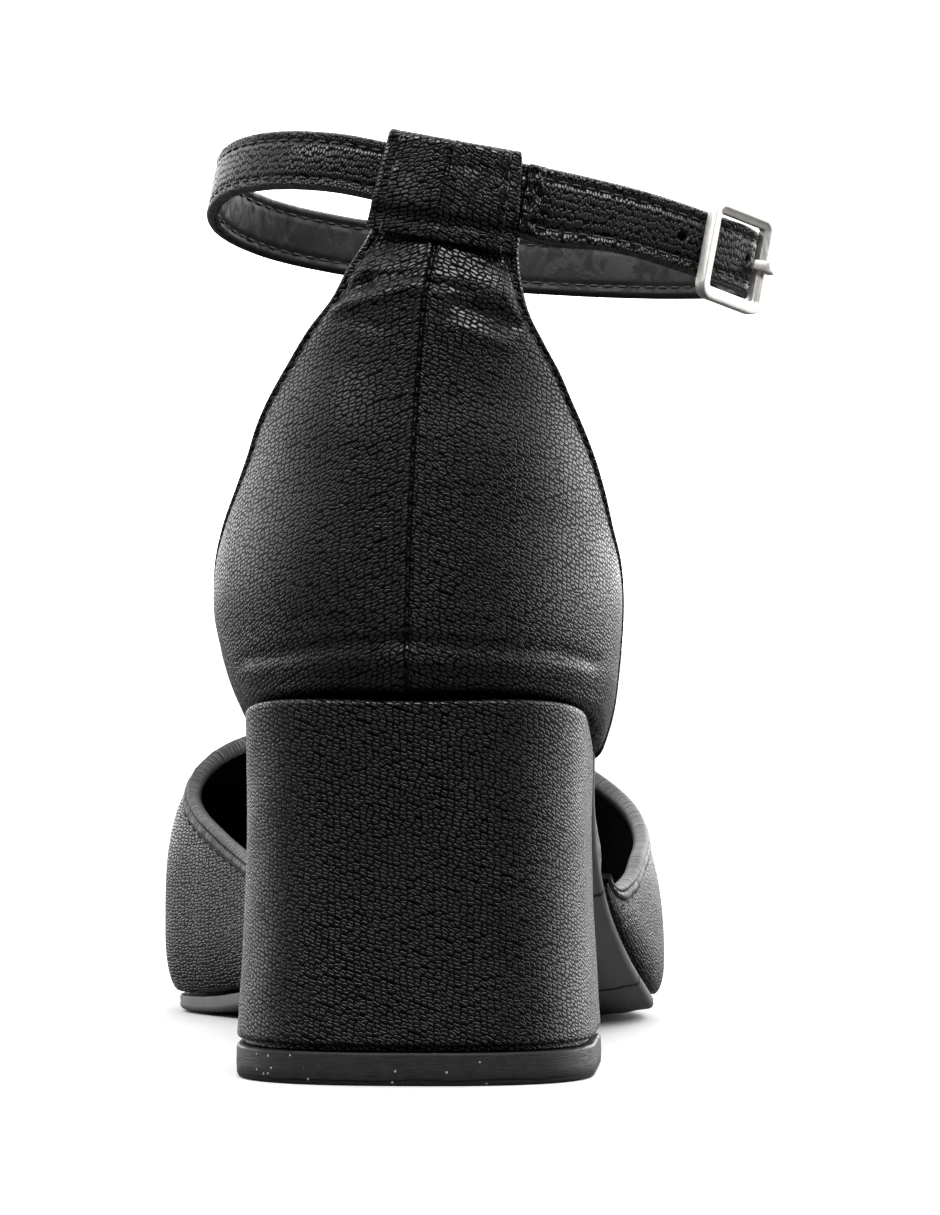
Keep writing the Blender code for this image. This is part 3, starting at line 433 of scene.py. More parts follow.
wave = {"Vector": where, "Scale": 1 / (LINE_WAVE * MM), "Detail": 1.0}
wave = node(tree, "ShaderNodeTexNoise", wave).outputs["Fac"]
off_line = node(tree, "ShaderNodeMath", [wave, -1.1 * MM, level], operation="MULTIPLY_ADD").outputs[0]
off_line = node(tree, "ShaderNodeMath", [off_line, LIFT_LINE * MM], operation="SUBTRACT").outputs[0]
off_line = node(tree, "ShaderNodeMath", [off_line], operation="ABSOLUTE").outputs[0]
clean = [off_line, 0.05 * MM, 0.28 * MM, 0.0, 1.0]
clean = node(tree, "ShaderNodeMapRange", clean, **EASED).outputs[0]
body = {0: mottle, 6: linear("#141313"), 7: linear("#272626")}
body = node(tree, "ShaderNodeMix", body, **COLOURS).outputs[2]
body = node(tree, "ShaderNodeMix", {0: clean, 6: linear("#0a0a0a"), 7: body}, **COLOURS).outputs[2]
body = node(tree, "ShaderNodeMix", {0: speck, 6: body, 7: linear("#8d8b88")}, **COLOURS).outputs[2]
rough = node(tree, "ShaderNodeMapRange", [scuff, 0.3, 0.7, 0.38, 0.6], **EASED).outputs[0]
shade(tree, shader, body, rough, scuff, 0.05)
print("lift:", lift_plastic.name)

# %% [markdown]
# The outsole is thin black rubber with a fine matt face. It is coloured dark grey, partly for that
# matt face and partly as painted light for the light bounced up from the floor; its tread is paler
# still, partly with dust and partly with more of that painted bounce light. Two faint lines cross its
# waist where it was bent over the last: small grooves coloured dark, as painted shade in the creases.

# %% Rubber outsole
SOLE_LINES = (98.0, 128.0)
GRIT = 0.45
DRAG = (0.8, 14.0, 3.0)


def ground_rubber(name, dark, light):
    """Matt rubber with drag marks and the two bend lines."""
    material, tree, shader = new_finish(name, IOR=1.52)
    where = node(tree, "ShaderNodeTexCoord").outputs["Object"]
    grit = {"Vector": where, "Scale": 1 / (GRIT * MM), "Detail": 3.0}
    grit = node(tree, "ShaderNodeTexNoise", grit).outputs["Fac"]
    drag = {"Vector": where, "Scale": [1 / (size * MM) for size in DRAG]}
    drag = node(tree, "ShaderNodeMapping", drag).outputs["Vector"]
    drag = node(tree, "ShaderNodeTexNoise", {"Vector": drag, "Scale": 1.0, "Detail": 3.0}).outputs["Fac"]
    along = node(tree, "ShaderNodeSeparateXYZ", [where]).outputs["Y"]
    unmarked = 1.0
    for line in SOLE_LINES:
        off_line = [along, (line + SHOE_ORIGIN[1]) * MM]
        off_line = node(tree, "ShaderNodeMath", off_line, operation="SUBTRACT").outputs[0]
        off_line = node(tree, "ShaderNodeMath", [off_line], operation="ABSOLUTE").outputs[0]
        clear = [off_line, 0.15 * MM, 0.7 * MM, 0.0, 1.0]
        clear = node(tree, "ShaderNodeMapRange", clear, **EASED).outputs[0]
        unmarked = node(tree, "ShaderNodeMath", [unmarked, clear], operation="MULTIPLY").outputs[0]
    # The grey stands partly for the matt rubber and partly for painted bounce light from the floor.
    tone = node(tree, "ShaderNodeMix", {0: drag, 6: linear(dark), 7: linear(light)}, **COLOURS).outputs[2]
    # The bend lines are coloured dark: painted shade in the creases.
    tone = node(tree, "ShaderNodeMix", {0: unmarked, 6: linear("#121212"), 7: tone}, **COLOURS).outputs[2]
    rough = node(tree, "ShaderNodeMapRange", [drag, 0.3, 0.7, 0.52, 0.68], **EASED).outputs[0]
    height = node(tree, "ShaderNodeMath", [grit, 0.3, unmarked], operation="MULTIPLY_ADD").outputs[0]
    shade(tree, shader, tone, rough, height, 0.06)
    return material


sole_rubber = ground_rubber("black_sole_rubber", "#454444", "#585757")
tread_rubber = ground_rubber("grey_tread_rubber", "#4c4b4b", "#5e5d5d")
print("rubbers:", sole_rubber.name, tread_rubber.name)

# %% [markdown]
# The buckle is zinc alloy with nickel plating, rubbed to a satin by the strap. The rub marks are
# fine and show only as small changes of gloss.

# %% Nickel plating
RUB_MARKS = (0.3, 0.3, 4.0)
nickel, tree, shader = new_finish("satin_nickel_plating", metallic=1.0)
where = node(tree, "ShaderNodeTexCoord").outputs["Object"]
rubs = {"Vector": where, "Scale": [1 / (size * MM) for size in RUB_MARKS], "Rotation": (0.2, 0.5, 0.3)}
rubs = node(tree, "ShaderNodeMapping", rubs).outputs["Vector"]
rubs = node(tree, "ShaderNodeTexNoise", {"Vector": rubs, "Scale": 1.0, "Detail": 3.0}).outputs["Fac"]
tone = node(tree, "ShaderNodeMix", {0: rubs, 6: linear("#cfccc7"), 7: linear("#e6e4e0")}, **COLOURS)
rough = node(tree, "ShaderNodeMapRange", [rubs, 0.3, 0.7, 0.36, 0.46], **EASED).outputs[0]
shade(tree, shader, tone.outputs[2], rough, rubs, 0.008)
print("finishes:", len(bpy.data.materials))

# %% [markdown]
# ## Heel and top lift
# The heel is a moulded block with a leather cover pulled tight and turned under at both ends. It is
# a loft of level outlines: a flat front, straight sides and a squared round back. A cube with bevels
# would be quicker, but it can't follow the slope of the seat or the slight waist of the block.

# %% Underside of the shoe and outlines of the heel
BOTTOM_PROFILE = [
    (0, 62.2), (12, 60.6), (25, 58.2), (40, 54.8), (54, 50.4), (68, 44.2), (80, 37.6), (92, 30.2),
    (105, 21.9), (120, 13.1), (135, 6.8), (147, 4.1), (155, 3.4), (170, 3.4), (180, 3.8), (190, 4.6),
    (205, 6.6), (218, 9.0), (230, 11.6),
]
HEEL_LEVELS = [
    (6.2, 28.5, 3.4, 48.8), (11.0, 28.2, 3.8, 49.2), (20.0, 27.7, 4.4, 50.0), (34.0, 27.1, 4.6, 51.4),
    (48.0, 26.9, 4.0, 52.8), (61.2, 27.1, 3.2, 53.7),
]
HEEL_RUN = 25.0
HEEL_POWER = 2.6
HEEL_SHIFT = -0.4
HEEL_CORNER = 1.6
LIFT_HEIGHT = 5.2
GROOVE_HEIGHT = 1.0
GROOVE_DEPTH = 1.2
HEEL_POINTS = 250


def bottom_height(station):
    return smooth(BOTTOM_PROFILE, 1, station)


def heel_outline(height, inset):
    """Ring of a heel level from the middle of the breast round the back, as x and y."""
    half, back, breast = [smooth(HEEL_LEVELS, k, height) for k in (1, 2, 3)]
    half, back, breast = half - inset, back + inset, breast - inset
    turn = np.linspace(0, math.pi / 2, 40)
    round_back = np.linspace(0, math.pi / 2, 160)
    corner_x = half - HEEL_CORNER + HEEL_CORNER * np.sin(turn)
    corner_y = breast - HEEL_CORNER + HEEL_CORNER * np.cos(turn)
    back_x = half * np.cos(round_back).clip(0) ** (2 / HEEL_POWER)
    back_y = back + HEEL_RUN - HEEL_RUN * np.sin(round_back) ** (2 / HEEL_POWER)
    side = np.stack([np.r_[0.0, corner_x, back_x], np.r_[breast, corner_y, back_y]], axis=1)
    side = resample(side, np.linspace(0, run_of(side)[-1], HEEL_POINTS // 2 + 1))
    return np.concatenate([side, side[-2:0:-1] * (-1, 1)])


CREVICE = 0.8


def heel_ring(height, inset, swell=0.0):
    """Ring of points of the heel; its upper levels lean with the seat that they carry."""
    ring = heel_outline(height, inset)
    fall = ramp(height, LIFT_HEIGHT, HEEL_LEVELS[-1][0])
    z = height + fall * (bottom_height(ring[:, 1]) - SEAM_GAP - HEEL_LEVELS[-1][0])
    out = unit(np.roll(ring, 1, axis=0) - np.roll(ring, -1, axis=0))[:, ::-1] * (-1, 1)
    z = z - CREVICE * ramp(height, 54, HEEL_LEVELS[-1][0]) * bell(ring[:, 0], 17.0) * (ring[:, 1] < 30)
    bumps = swell * unevenness(run_of(ring), z, 13.0)[:, None] * out
    return np.column_stack([ring + bumps + (HEEL_SHIFT, 0.0), z])


# %% Heel block with its cover
GROOVE_TOP = LIFT_HEIGHT + GROOVE_HEIGHT
HEEL_TOP = HEEL_LEVELS[-1][0]
COVER_WAVE = 0.07
FOOT_ROUND, TOP_ROUND = 0.7, 0.9
rings = [heel_ring(GROOVE_TOP - GROOVE_HEIGHT + SEAM_GAP, GROOVE_DEPTH), heel_ring(GROOVE_TOP, GROOVE_DEPTH)]
for a in np.linspace(0, 1.4, 6):
    rings.append(heel_ring(GROOVE_TOP + FOOT_ROUND * (1 - math.cos(a)), FOOT_ROUND * (1 - math.sin(a))))
for height in np.linspace(GROOVE_TOP + 1.2, HEEL_TOP - 1.3, 78):
    rings.append(heel_ring(height, 0.0, COVER_WAVE * ramp(height, 7, 12) * (1 - ramp(height, 52, 60))))
for a in np.linspace(0.1, 1.5, 7):
    rings.append(heel_ring(HEEL_TOP - TOP_ROUND + TOP_ROUND * math.sin(a), TOP_ROUND * (1 - math.cos(a))))
rings = np.array(rings)
girth = np.linspace(0, run_of(rings[20])[-1], HEEL_POINTS + 1)
up_back = rings[:, HEEL_POINTS // 2, 2][:, None]
heel = loft("heel_cover", rings, [heel_hide], True, True, place=(girth, up_back))
report(heel)

# %% Top lift
LIFT_EDGE = 0.6
LIFT_SHOULDER = LIFT_HEIGHT - 0.3
LIFT_RINGS = [
    (0.0, LIFT_EDGE + 0.1), (0.15, 0.25), (LIFT_EDGE, 0.0), (2.4, -0.1), (LIFT_SHOULDER, 0.0),
    (LIFT_HEIGHT, 0.3),
]
rings = [heel_ring(HEEL_LEVELS[0][0], inset) for _, inset in LIFT_RINGS]
for ring, (height, _) in zip(rings, LIFT_RINGS):
    ring[:, 2] = height
lift = loft("top_lift_moulding", rings, [lift_plastic], around=True, caps=True)
report(lift)

# %% [markdown]
# ## Outsole and insole
# The outsole is a thin rubber sheet that follows the last: flat under the ball, arched at the waist
# and lifted at the toe. The insole lies on it and shows at the open sides, with its leather wrapped
# round its edge. Both are lofts of cross sections along the foot.

# %% Plan of the sole
BOTTOM_EDGES = [
    (30, -27.6, 27.6), (45, -26.8, 27.2), (60, -24.8, 26.6), (75, -22.6, 26.0), (90, -22.0, 26.0),
    (105, -23.6, 27.2), (120, -27.8, 29.8), (135, -33.2, 32.3), (150, -42.8, 32.8), (160, -48.2, 31.2),
    (175, -46.6, 27.0),
]
SOLE_LENGTH = 228.5
SEAT_BACK, SEAT_POWER = 2.5, 2.3
TOE_START, TOE_POWER, TOE_SWING = 175.0, 1.15, -0.08
HEEL_BREAST = 54.0
SOLE_THICKNESS = 3.4
CAMBER_LATERAL, CAMBER_MEDIAL = 1.2, 0.4


def bottom_edges(station):
    """Inner and outer edge of the shoe's bottom at a station."""
    first, last = BOTTOM_EDGES[0], BOTTOM_EDGES[-1]
    if station < first[0]:
        behind = np.clip((first[0] - station) / (first[0] - SEAT_BACK), 0.0, 1.0)
        half = first[2] * (1 - behind**SEAT_POWER) ** (1 / SEAT_POWER)
        return -half, half
    if station > last[0]:
        ahead = np.clip((station - TOE_START) / (SOLE_LENGTH - TOE_START), 0.0, 1.0)
        half = (last[2] - last[1]) / 2 * math.sqrt(1 - ahead**TOE_POWER)
        middle = (last[2] + last[1]) / 2 + TOE_SWING * (station - TOE_START)
        return middle - half, middle + half
    return float(smooth(BOTTOM_EDGES, 1, station)), float(smooth(BOTTOM_EDGES, 2, station))


def toe_spaced(start, end, count):
    """Stations that crowd towards the end, as a round toe needs."""
    return start + (end - start) * np.sin(np.linspace(0, math.pi / 2, count))


# %% Outsole
EDGE_ROUND = 0.9


def sole_half(half, top, low, lift):
    """Half section of the outsole, from its upper edge round to the tread, with a trimmed edge."""
    r = min(EDGE_ROUND, half * 0.4)
    bend = np.linspace(0, math.pi / 2, 5)
    points = [(half - 0.5 * r, top), (half - 0.15 * r, top - 0.15 * r), (half, top - 0.5 * r)]
    points += [(half - 0.12 * r, (top + low + lift) / 2)]
    points += [(half - r * (1 - math.cos(a)), low + lift + r * (1 - math.sin(a))) for a in bend]
    points += [(half * k - r, low + lift * rise) for k, rise in ((0.95, 0.8), (0.90, 0.45), (0.78, 0.12))]
    return points + [(half * k, low) for k in (0.62, 0.45, 0.30, 0.15)]


def sole_ring(station):
    medial, lateral = bottom_edges(station)
    middle, half = (medial + lateral) / 2, (lateral - medial) / 2
    top = float(bottom_height(station)) - SEAM_GAP
    low = max(top - SOLE_THICKNESS + SEAM_GAP, 0.0)
    fade = ramp(half, 0.0, 12.0)
    outer = [(middle + a, station, z) for a, z in sole_half(half, top, low, CAMBER_LATERAL * fade)]
    inner = [(middle - a, station, z) for a, z in sole_half(half, top, low, CAMBER_MEDIAL * fade)]
    return outer + inner[::-1]


stations = np.r_[np.linspace(HEEL_BREAST, 150, 90), toe_spaced(150, SOLE_LENGTH - 0.04, 70)[1:]]
tread = [0] * 8 + [1] * 16 + [0] * 8
rings = [sole_ring(s) for s in stations]
outsole = loft("outsole_sheet", rings, [sole_rubber, tread_rubber], True, True, tread)
report(outsole)

# %% Insole
QUARTER_LEVELS = [
    (0.0, 2.2, 28.4, 33, 0.30, 0.00, 60.0), (4.5, 1.0, 30.3, 34, 0.10, 0.00, 56.0),
    (9.5, 0.3, 31.6, 35, -0.30, 0.00, 49.5), (16.0, 0.0, 32.6, 36, -0.70, 0.00, 41.4),
    (21.5, 0.1, 32.3, 36, -0.60, 0.00, 35.0), (26.3, 0.4, 31.5, 36, -0.30, 0.00, 30.0),
    (31.0, 0.7, 30.8, 36, 0.30, 0.00, 26.1), (36.0, 1.2, 30.2, 36, 0.60, 0.00, 23.0),
    (40.5, 1.8, 29.8, 36, 0.65, 0.01, 20.7), (45.0, 2.6, 29.2, 36, 0.85, 0.02, 18.6),
    (50.0, 3.5, 28.2, 36, 1.50, 0.04, 16.6), (55.0, 4.4, 27.0, 36, 1.90, 0.06, 14.7),
    (59.4, 5.3, 26.0, 36, 2.70, 0.09, 13.0), (64.0, 6.2, 25.0, 36, 3.40, 0.12, 12.5),
    (69.0, 7.2, 24.3, 36, 4.70, 0.15, 12.0), (73.6, 8.0, 24.0, 36, 5.80, 0.17, 12.2),
]
QUARTER_FRONT, QUARTER_WALL = 60.0, 2.0
WAIST_DRAW_IN = 3.0
VAMP_BACK, VAMP_WALL = 99.5, 1.6
LIP_WIDTH = 7.0
INSOLE_RISE, INSOLE_CROWN = 5.5, 0.8
INSET_LASTED, INSET_WAIST, INSET_TOE = 2.7, 0.4, 5.5


def insole_edges(station, waist):
    """Inner and outer edge of the insole, clear of the upper's walls where there are any."""
    inset = INSET_LASTED + (INSET_WAIST - INSET_LASTED) * waist
    medial, lateral = bottom_edges(station)
    if station > TOE_START:
        stretch = (SOLE_LENGTH - TOE_START) / (SOLE_LENGTH - TOE_START - INSET_TOE)
        medial, lateral = bottom_edges(TOE_START + (station - TOE_START) * stretch)
        middle, half = (medial + lateral) / 2, (lateral - medial) / 2
        half *= 1 - 2 * inset / (BOTTOM_EDGES[-1][2] - BOTTOM_EDGES[-1][1])
        return middle - half, middle + half
    medial, lateral = medial + inset, lateral - inset
    if station < QUARTER_FRONT + 2.0:
        _, back, half, run = QUARTER_LEVELS[0][:4]
        clear = QUARTER_WALL + 0.7
        behind = max(back + run - station, 0.0) / (run - clear)
        half = (half - clear) * math.sqrt(max(1 - behind**2, 0.0))
        half -= WAIST_DRAW_IN * (max(station - back - run, 0.0) / run) ** 2
        medial, lateral = max(medial, -half), min(lateral, half)
    return medial, lateral


def insole_ring(station):
    """Section of the insole: a dished top, a wrapped round edge and a flat underside."""
    waist = ramp(station, QUARTER_FRONT + 1.8, QUARTER_FRONT + 2.8)
    waist *= 1 - ramp(station, VAMP_BACK - 2.2, VAMP_BACK - 1.0)
    medial, lateral = insole_edges(station, waist)
    middle, edge = (medial + lateral) / 2, max((lateral - medial) / 2, 0.6)
    floor = float(bottom_height(station)) + SEAM_GAP
    low = floor + ((QUARTER_WALL if station < 80 else VAMP_WALL) + SEAM_GAP) * (1 - waist)
    top = floor + INSOLE_RISE - SEAM_GAP + INSOLE_CROWN
    r = min(1.1, edge * 0.3)
    half = [(edge * k, top - INSOLE_CROWN * (1 - k) ** 0.7) for k in (0.12, 0.3, 0.5, 0.7, 0.85)]
    bend = np.linspace(0.1, math.pi / 2, 6)
    half += [(edge - r + r * math.sin(a), top - r + r * math.cos(a)) for a in bend]
    half += [(edge + 0.12 * waist, (top + low) / 2), (edge, low + 0.4)]
    half += [(edge - 0.5 * r, low), (edge * 0.5, low)]
    ring = [(middle + a, station, z) for a, z in half]
    return ring + [(middle - a, station, z) for a, z in reversed(half)]


stations = 5.1 + (QUARTER_FRONT - 5.1) * (1 - np.cos(np.linspace(0.06, math.pi / 2, 44)))
stations = np.r_[stations, 61, 61.8, 62.2, 62.8, np.linspace(64, 96.8, 38), 97.3, 97.9, 98.5]
stations = np.r_[stations, np.linspace(99.5, 160, 52)]
stations = np.r_[stations, toe_spaced(160, SOLE_LENGTH - INSET_TOE - 0.1, 36)[1:]]
insole = loft("insole_wrapped", [insole_ring(s) for s in stations], [insole_leather_painted_paler], around=True, caps=True)
report(insole)

# %% [markdown]
# ## Vamp
# The vamp is the front of the upper. It was pulled over a last, so its wall rises from the sole's
# edge in one taut curve. Ribs run from a lip under the insole up to the top line, and over the toes
# up to the ridge of the last. Draping a sheet by simulation would lose the last's shape, so the ribs
# are drawn from the last's own measures and the wall is grown inwards with Solidify.

# %% Ribs of the vamp
INSTEP_RIDGE = [
    (100, -4.0, 73.0), (115, -7.0, 68.0), (130, -9.5, 62.5), (144, -11.0, 57.0), (157, -12.0, 51.2),
    (175, -13.0, 43.8), (190, -13.6, 38.8), (205, -14.0, 33.8), (214, -14.3, 30.2), (220, -14.5, 26.8),
    (224, -14.6, 23.4), (226.5, -14.7, 20.0),
]
VAMP_TOPLINES = {-1: [
    (99.5, 0.5), (108, 0.7), (117, 1.2), (126, 2.4), (134, 5.2), (141, 9.5), (147, 15), (152, 20.5),
    (155.8, 27), (158.4, 35), (160.2, 46), (161.5, 60), (162.5, 75), (163.3, 90),
], 1: [
    (99.5, 0.6), (104, 0.8), (108.5, 1.4), (113, 3), (118.5, 6.2), (125, 12), (132, 17.5), (139, 23.5),
    (145.5, 30), (151, 37), (155.5, 46), (159.2, 58), (161.7, 73), (163.3, 90),
]}
VAMP_SIDES = {1: (1.8, 5.5, 2.4), -1: (2.5, 9.5, 3.4)}
TOE_BULGE, TOE_WIDEST, TOE_FULLNESS = 1.5, 5.5, 2.3
RIDGE_END = 226.5
BACK_RIBS, TOE_RIBS = 96, 50
ARCH_POINTS, CURL_POINTS = 64, 9


def vamp_rib(edge, normal, ridge, bulge, widest, fullness, reach):
    """Outer face along one rib: lip under the insole, curl, side wall and arch."""
    edge, ridge = np.asarray(edge), np.asarray(ridge)
    floor = edge[2] + SEAM_GAP
    lips = [edge[:2] - inset * normal for inset in (LIP_WIDTH, LIP_WIDTH * 0.6, LIP_WIDTH * 0.25)]
    points = [(*plan, float(bottom_height(plan[1])) + SEAM_GAP) for plan in lips]
    for angle in np.linspace(0, math.pi / 2, CURL_POINTS)[:-1]:
        plan = edge[:2] + bulge * math.sin(angle) * normal
        points.append((*plan, floor + widest * (1 - math.cos(angle))))
    angle = np.linspace(0.0, reach, 181)
    across = np.cos(angle).clip(0) ** (2 / fullness)
    rise = np.sin(angle) ** (2 / fullness)
    wide = edge[:2] + bulge * normal
    plan = ridge[:2] + (wide - ridge[:2]) * across[:, None]
    arch = np.column_stack([plan, floor + widest + (ridge[2] - floor - widest) * rise])
    return np.concatenate([points, resample(arch, np.linspace(0, run_of(arch)[-1], ARCH_POINTS))])


def vamp_side(sign):
    """Ribs of one side, from the vamp's back end round to the tip of the toe."""
    knots = [(i, *row) for i, row in enumerate(VAMP_TOPLINES[sign])]
    places = np.linspace(0, knots[-1][0], BACK_RIBS)
    stations, reaches = smooth(knots, 1, places), smooth(knots, 2, places)
    cuts = stations
    toes = np.sin(np.linspace(0, math.pi / 2, TOE_RIBS + 1))[1:]
    stations = np.r_[stations, stations[-1] + (SOLE_LENGTH - stations[-1]) * toes]
    cuts = np.r_[cuts, cuts[-1] + (RIDGE_END - cuts[-1]) * toes]
    reaches = np.r_[reaches, np.full(TOE_RIBS, 90.0)]
    edges = np.array([(bottom_edges(s)[sign > 0], s, float(bottom_height(s))) for s in stations])
    behind, ahead = stations - 0.3, np.minimum(stations + 0.3, SOLE_LENGTH - 0.01)
    widening = [bottom_edges(b)[sign > 0] - bottom_edges(a)[sign > 0] for a, b in zip(behind, ahead)]
    runs = unit(np.column_stack([widening, ahead - behind]))
    ribs = []
    for i, (edge, cut) in enumerate(zip(edges, cuts)):
        normal = sign * runs[i][::-1] * (1, -1) if i < len(edges) - 1 else np.array([0.0, 1.0])
        toe = max(0.0, (i - BACK_RIBS + 1) / TOE_RIBS)
        ridge = (float(smooth(INSTEP_RIDGE, 1, cut)), cut, float(smooth(INSTEP_RIDGE, 2, cut)))
        bulge, widest, fullness = VAMP_SIDES[sign]
        wing = ramp(cut, VAMP_BACK, VAMP_BACK + 22)
        bulge = (bulge + (TOE_BULGE - bulge) * toe**2) * (0.3 + 0.7 * wing)
        widest = (widest + (TOE_WIDEST - widest) * toe) * (0.15 + 0.85 * wing)
        fullness += (TOE_FULLNESS - fullness) * toe**2
        ribs.append(vamp_rib(edge, normal, ridge, bulge, widest, fullness, math.radians(reaches[i])))
    return np.array(ribs)


medial_ribs, lateral_ribs = vamp_side(-1), vamp_side(1)
print("vamp ribs:", len(medial_ribs) + len(lateral_ribs))


# %% Wall of the vamp


def baked(made):
    """Puts an object's modifiers into its mesh."""
    graph = bpy.context.evaluated_depsgraph_get()
    mesh = bpy.data.meshes.new_from_object(made.evaluated_get(graph))
    made.modifiers.clear()
    made.data = mesh
    return made


ribs = np.concatenate([medial_ribs, lateral_ribs[-2::-1]])
round_toe = run_of(ribs[:, CURL_POINTS + 8])[:, None] - 160.0
up_rib = np.array([run_of(rib) for rib in ribs])
vamp = loft("vamp_upper", ribs, [vamp_hide_painted_paler, lining], place=(round_toe, up_rib))
wall = vamp.modifiers.new("wall", "SOLIDIFY")
wall.thickness = VAMP_WALL * MM
wall.offset = -1.0
wall.use_even_offset = True
wall.thickness_clamp = 1.0
wall.material_offset = 1
baked(vamp)
report(vamp)

# %% [markdown]
# The vamp's top line is finished with a binding: a strip of the same hide folded over the edge and
# sewn down. It is swept along the top line as a folded section. Small ribs across it, where the strip
# bunches round the curve, are in the geometry as well as in the finish.

# %% Binding along the vamp's top line
BINDING_WIDTH = 2.7
BINDING_STEP = 0.4
BINDING_SECTION = [
    (1.00, 0.00), (0.98, 0.30), (0.90, 0.46), (0.74, 0.54), (0.58, 0.52), (0.46, 0.40), (0.39, 0.16),
    (0.32, 0.30), (0.22, 0.50), (0.08, 0.50), (-0.06, 0.22), (-0.13, -0.25), (-0.15, -0.80),
    (-0.13, -1.35), (-0.06, -1.82), (0.10, -2.10), (0.30, -2.22), (0.55, -2.24), (0.80, -2.18),
    (0.94, -2.05), (1.00, -1.70), (0.92, -0.80),
]
VAMP_MIDDLE = np.array([-10.0, 130.0, 25.0])


def top_line_frames(ribs):
    """Ends of the bound ribs with their directions down the rib and outwards, and the rib's length."""
    bound = ribs[:BACK_RIBS]
    outward = normals_of(ribs)[:BACK_RIBS, -2]
    outward *= np.sign(((bound[:, -2] - VAMP_MIDDLE) * outward).sum(axis=1, keepdims=True))
    down = unit(bound[:, -4] - bound[:, -1])
    lengths = np.linalg.norm(np.diff(bound[:, CURL_POINTS + 2 :], axis=1), axis=2).sum(axis=1)
    return np.column_stack([bound[:, -1], down, outward, lengths])


line = np.concatenate([top_line_frames(medial_ribs), top_line_frames(lateral_ribs)[-2::-1]])
run = run_of(line[:, :3])
places = np.arange(0, run[-1], BINDING_STEP)
line = np.stack([np.interp(places, run, line[:, k]) for k in range(10)], axis=1)
edge_at, down_at, out_at = line[:, :3], unit(line[:, 3:6]), unit(line[:, 6:9])
band = np.minimum(BINDING_WIDTH, line[:, 9] * 0.8)
section = np.array(BINDING_SECTION)
bunch = 0.10 * unevenness(places[:, None], 2.0 * section[None, :, 0], 2.1)
bunch = bunch * (np.abs(section[:, 0] - 0.7) < 0.2)
depth = down_at[:, None] * (band[:, None] * section[:, 0])[..., None]
rise = out_at[:, None] * (section[:, 1] + bunch)[..., None]
spots = (places[:, None], BINDING_WIDTH * section[None, :, 0])
rings = edge_at[:, None] + depth + rise
binding = loft("vamp_binding", rings, [edge_hide], around=True, caps=True, place=spots)
vamp_stitch_line = (edge_at + down_at * (BINDING_WIDTH + 0.55) + out_at * 0.02)[band > BINDING_WIDTH - 0.2]
report(binding)

# %% [markdown]
# ## Back part
# The back part, or quarter, wraps the heel in two halves joined by a seam up the back. A stiff
# counter under the hide holds its round shape and ends in a faint level line above the heel. The
# levels are drawn from the measured table, with columns of points that follow the seam. Under the
# tunnel the hide stands out in a broad fold, given as a table of level and rise. Creases are then
# pressed into the outer face as soft troughs and ridges along short lines.

# %% Levels of the back part
SEAT_HEIGHT, LEVEL_BLEND = 62.2, 45.0
BACK_SEAM = [
    (62.4, -0.63), (71.8, -0.48), (82.8, -0.16), (93.7, 0.24), (104.6, 0.76), (115.5, 1.44),
    (123.3, 2.15), (128.8, 3.04), (133.5, 3.90), (141.4, 5.30), (148.4, 6.70),
]
SIDE_COLUMNS = 84
CURL_RADIUS = 1.4
half_spread = np.linspace(0, 1, SIDE_COLUMNS)
half_spread = half_spread - 0.72 * np.sin(2 * math.pi * half_spread) / (2 * math.pi)
SPREAD = np.r_[-half_spread[:0:-1], half_spread]


def quarter_row(height, inset=0.0):
    """Points of a level, from the inner front edge round the back to the outer front edge."""
    back, half, run, lean, tilt, front = [float(smooth(QUARTER_LEVELS, k, height)) for k in range(1, 7)]
    back, half, run = back + inset, half - inset, run - inset
    ahead = front - back
    reach = math.acos(1 - ahead / run) / (math.pi / 2) if ahead < run else ahead / run
    seam = math.asin((float(smooth(BACK_SEAM, 1, height + SEAT_HEIGHT)) - lean) / half) / (math.pi / 2)
    sweep = seam + np.where(SPREAD < 0, reach + seam, reach - seam) * SPREAD
    round_by = np.abs(sweep).clip(0, 1) * math.pi / 2
    past = (np.abs(sweep) - 1).clip(0)
    x = np.sign(sweep) * (half * np.sin(round_by) - WAIST_DRAW_IN * past**2)
    station = back + run * (1 - np.cos(round_by) + past)
    seat = bottom_height(station)
    z = height + seat + ramp(height, 0.0, LEVEL_BLEND) * (SEAT_HEIGHT - seat) + SEAM_GAP - tilt * x
    return np.column_stack([x + lean, station, z])


rows = [quarter_row(0.0, inset) for inset in (LIP_WIDTH, LIP_WIDTH * 0.7, LIP_WIDTH * 0.4)]
for a in np.linspace(0, math.pi / 2, 7)[:-1]:
    rows.append(quarter_row(CURL_RADIUS * (1 - math.cos(a)), CURL_RADIUS * (1 - math.sin(a))))
rows += [quarter_row(h) for h in np.linspace(CURL_RADIUS, QUARTER_LEVELS[-1][0], 150)]
quarter_face = np.array(rows)
quarter_out = normals_of(quarter_face)
quarter_out *= -np.sign(quarter_out[80, SIDE_COLUMNS - 1, 1])
along_rows = np.array([run_of(row) for row in quarter_face])
from_edge = np.minimum(along_rows, along_rows[:, -1:] - along_rows)
from_seam = along_rows - along_rows[:, SIDE_COLUMNS - 1 : SIDE_COLUMNS]
print("back part levels:", len(quarter_face), "points round:", len(SPREAD))

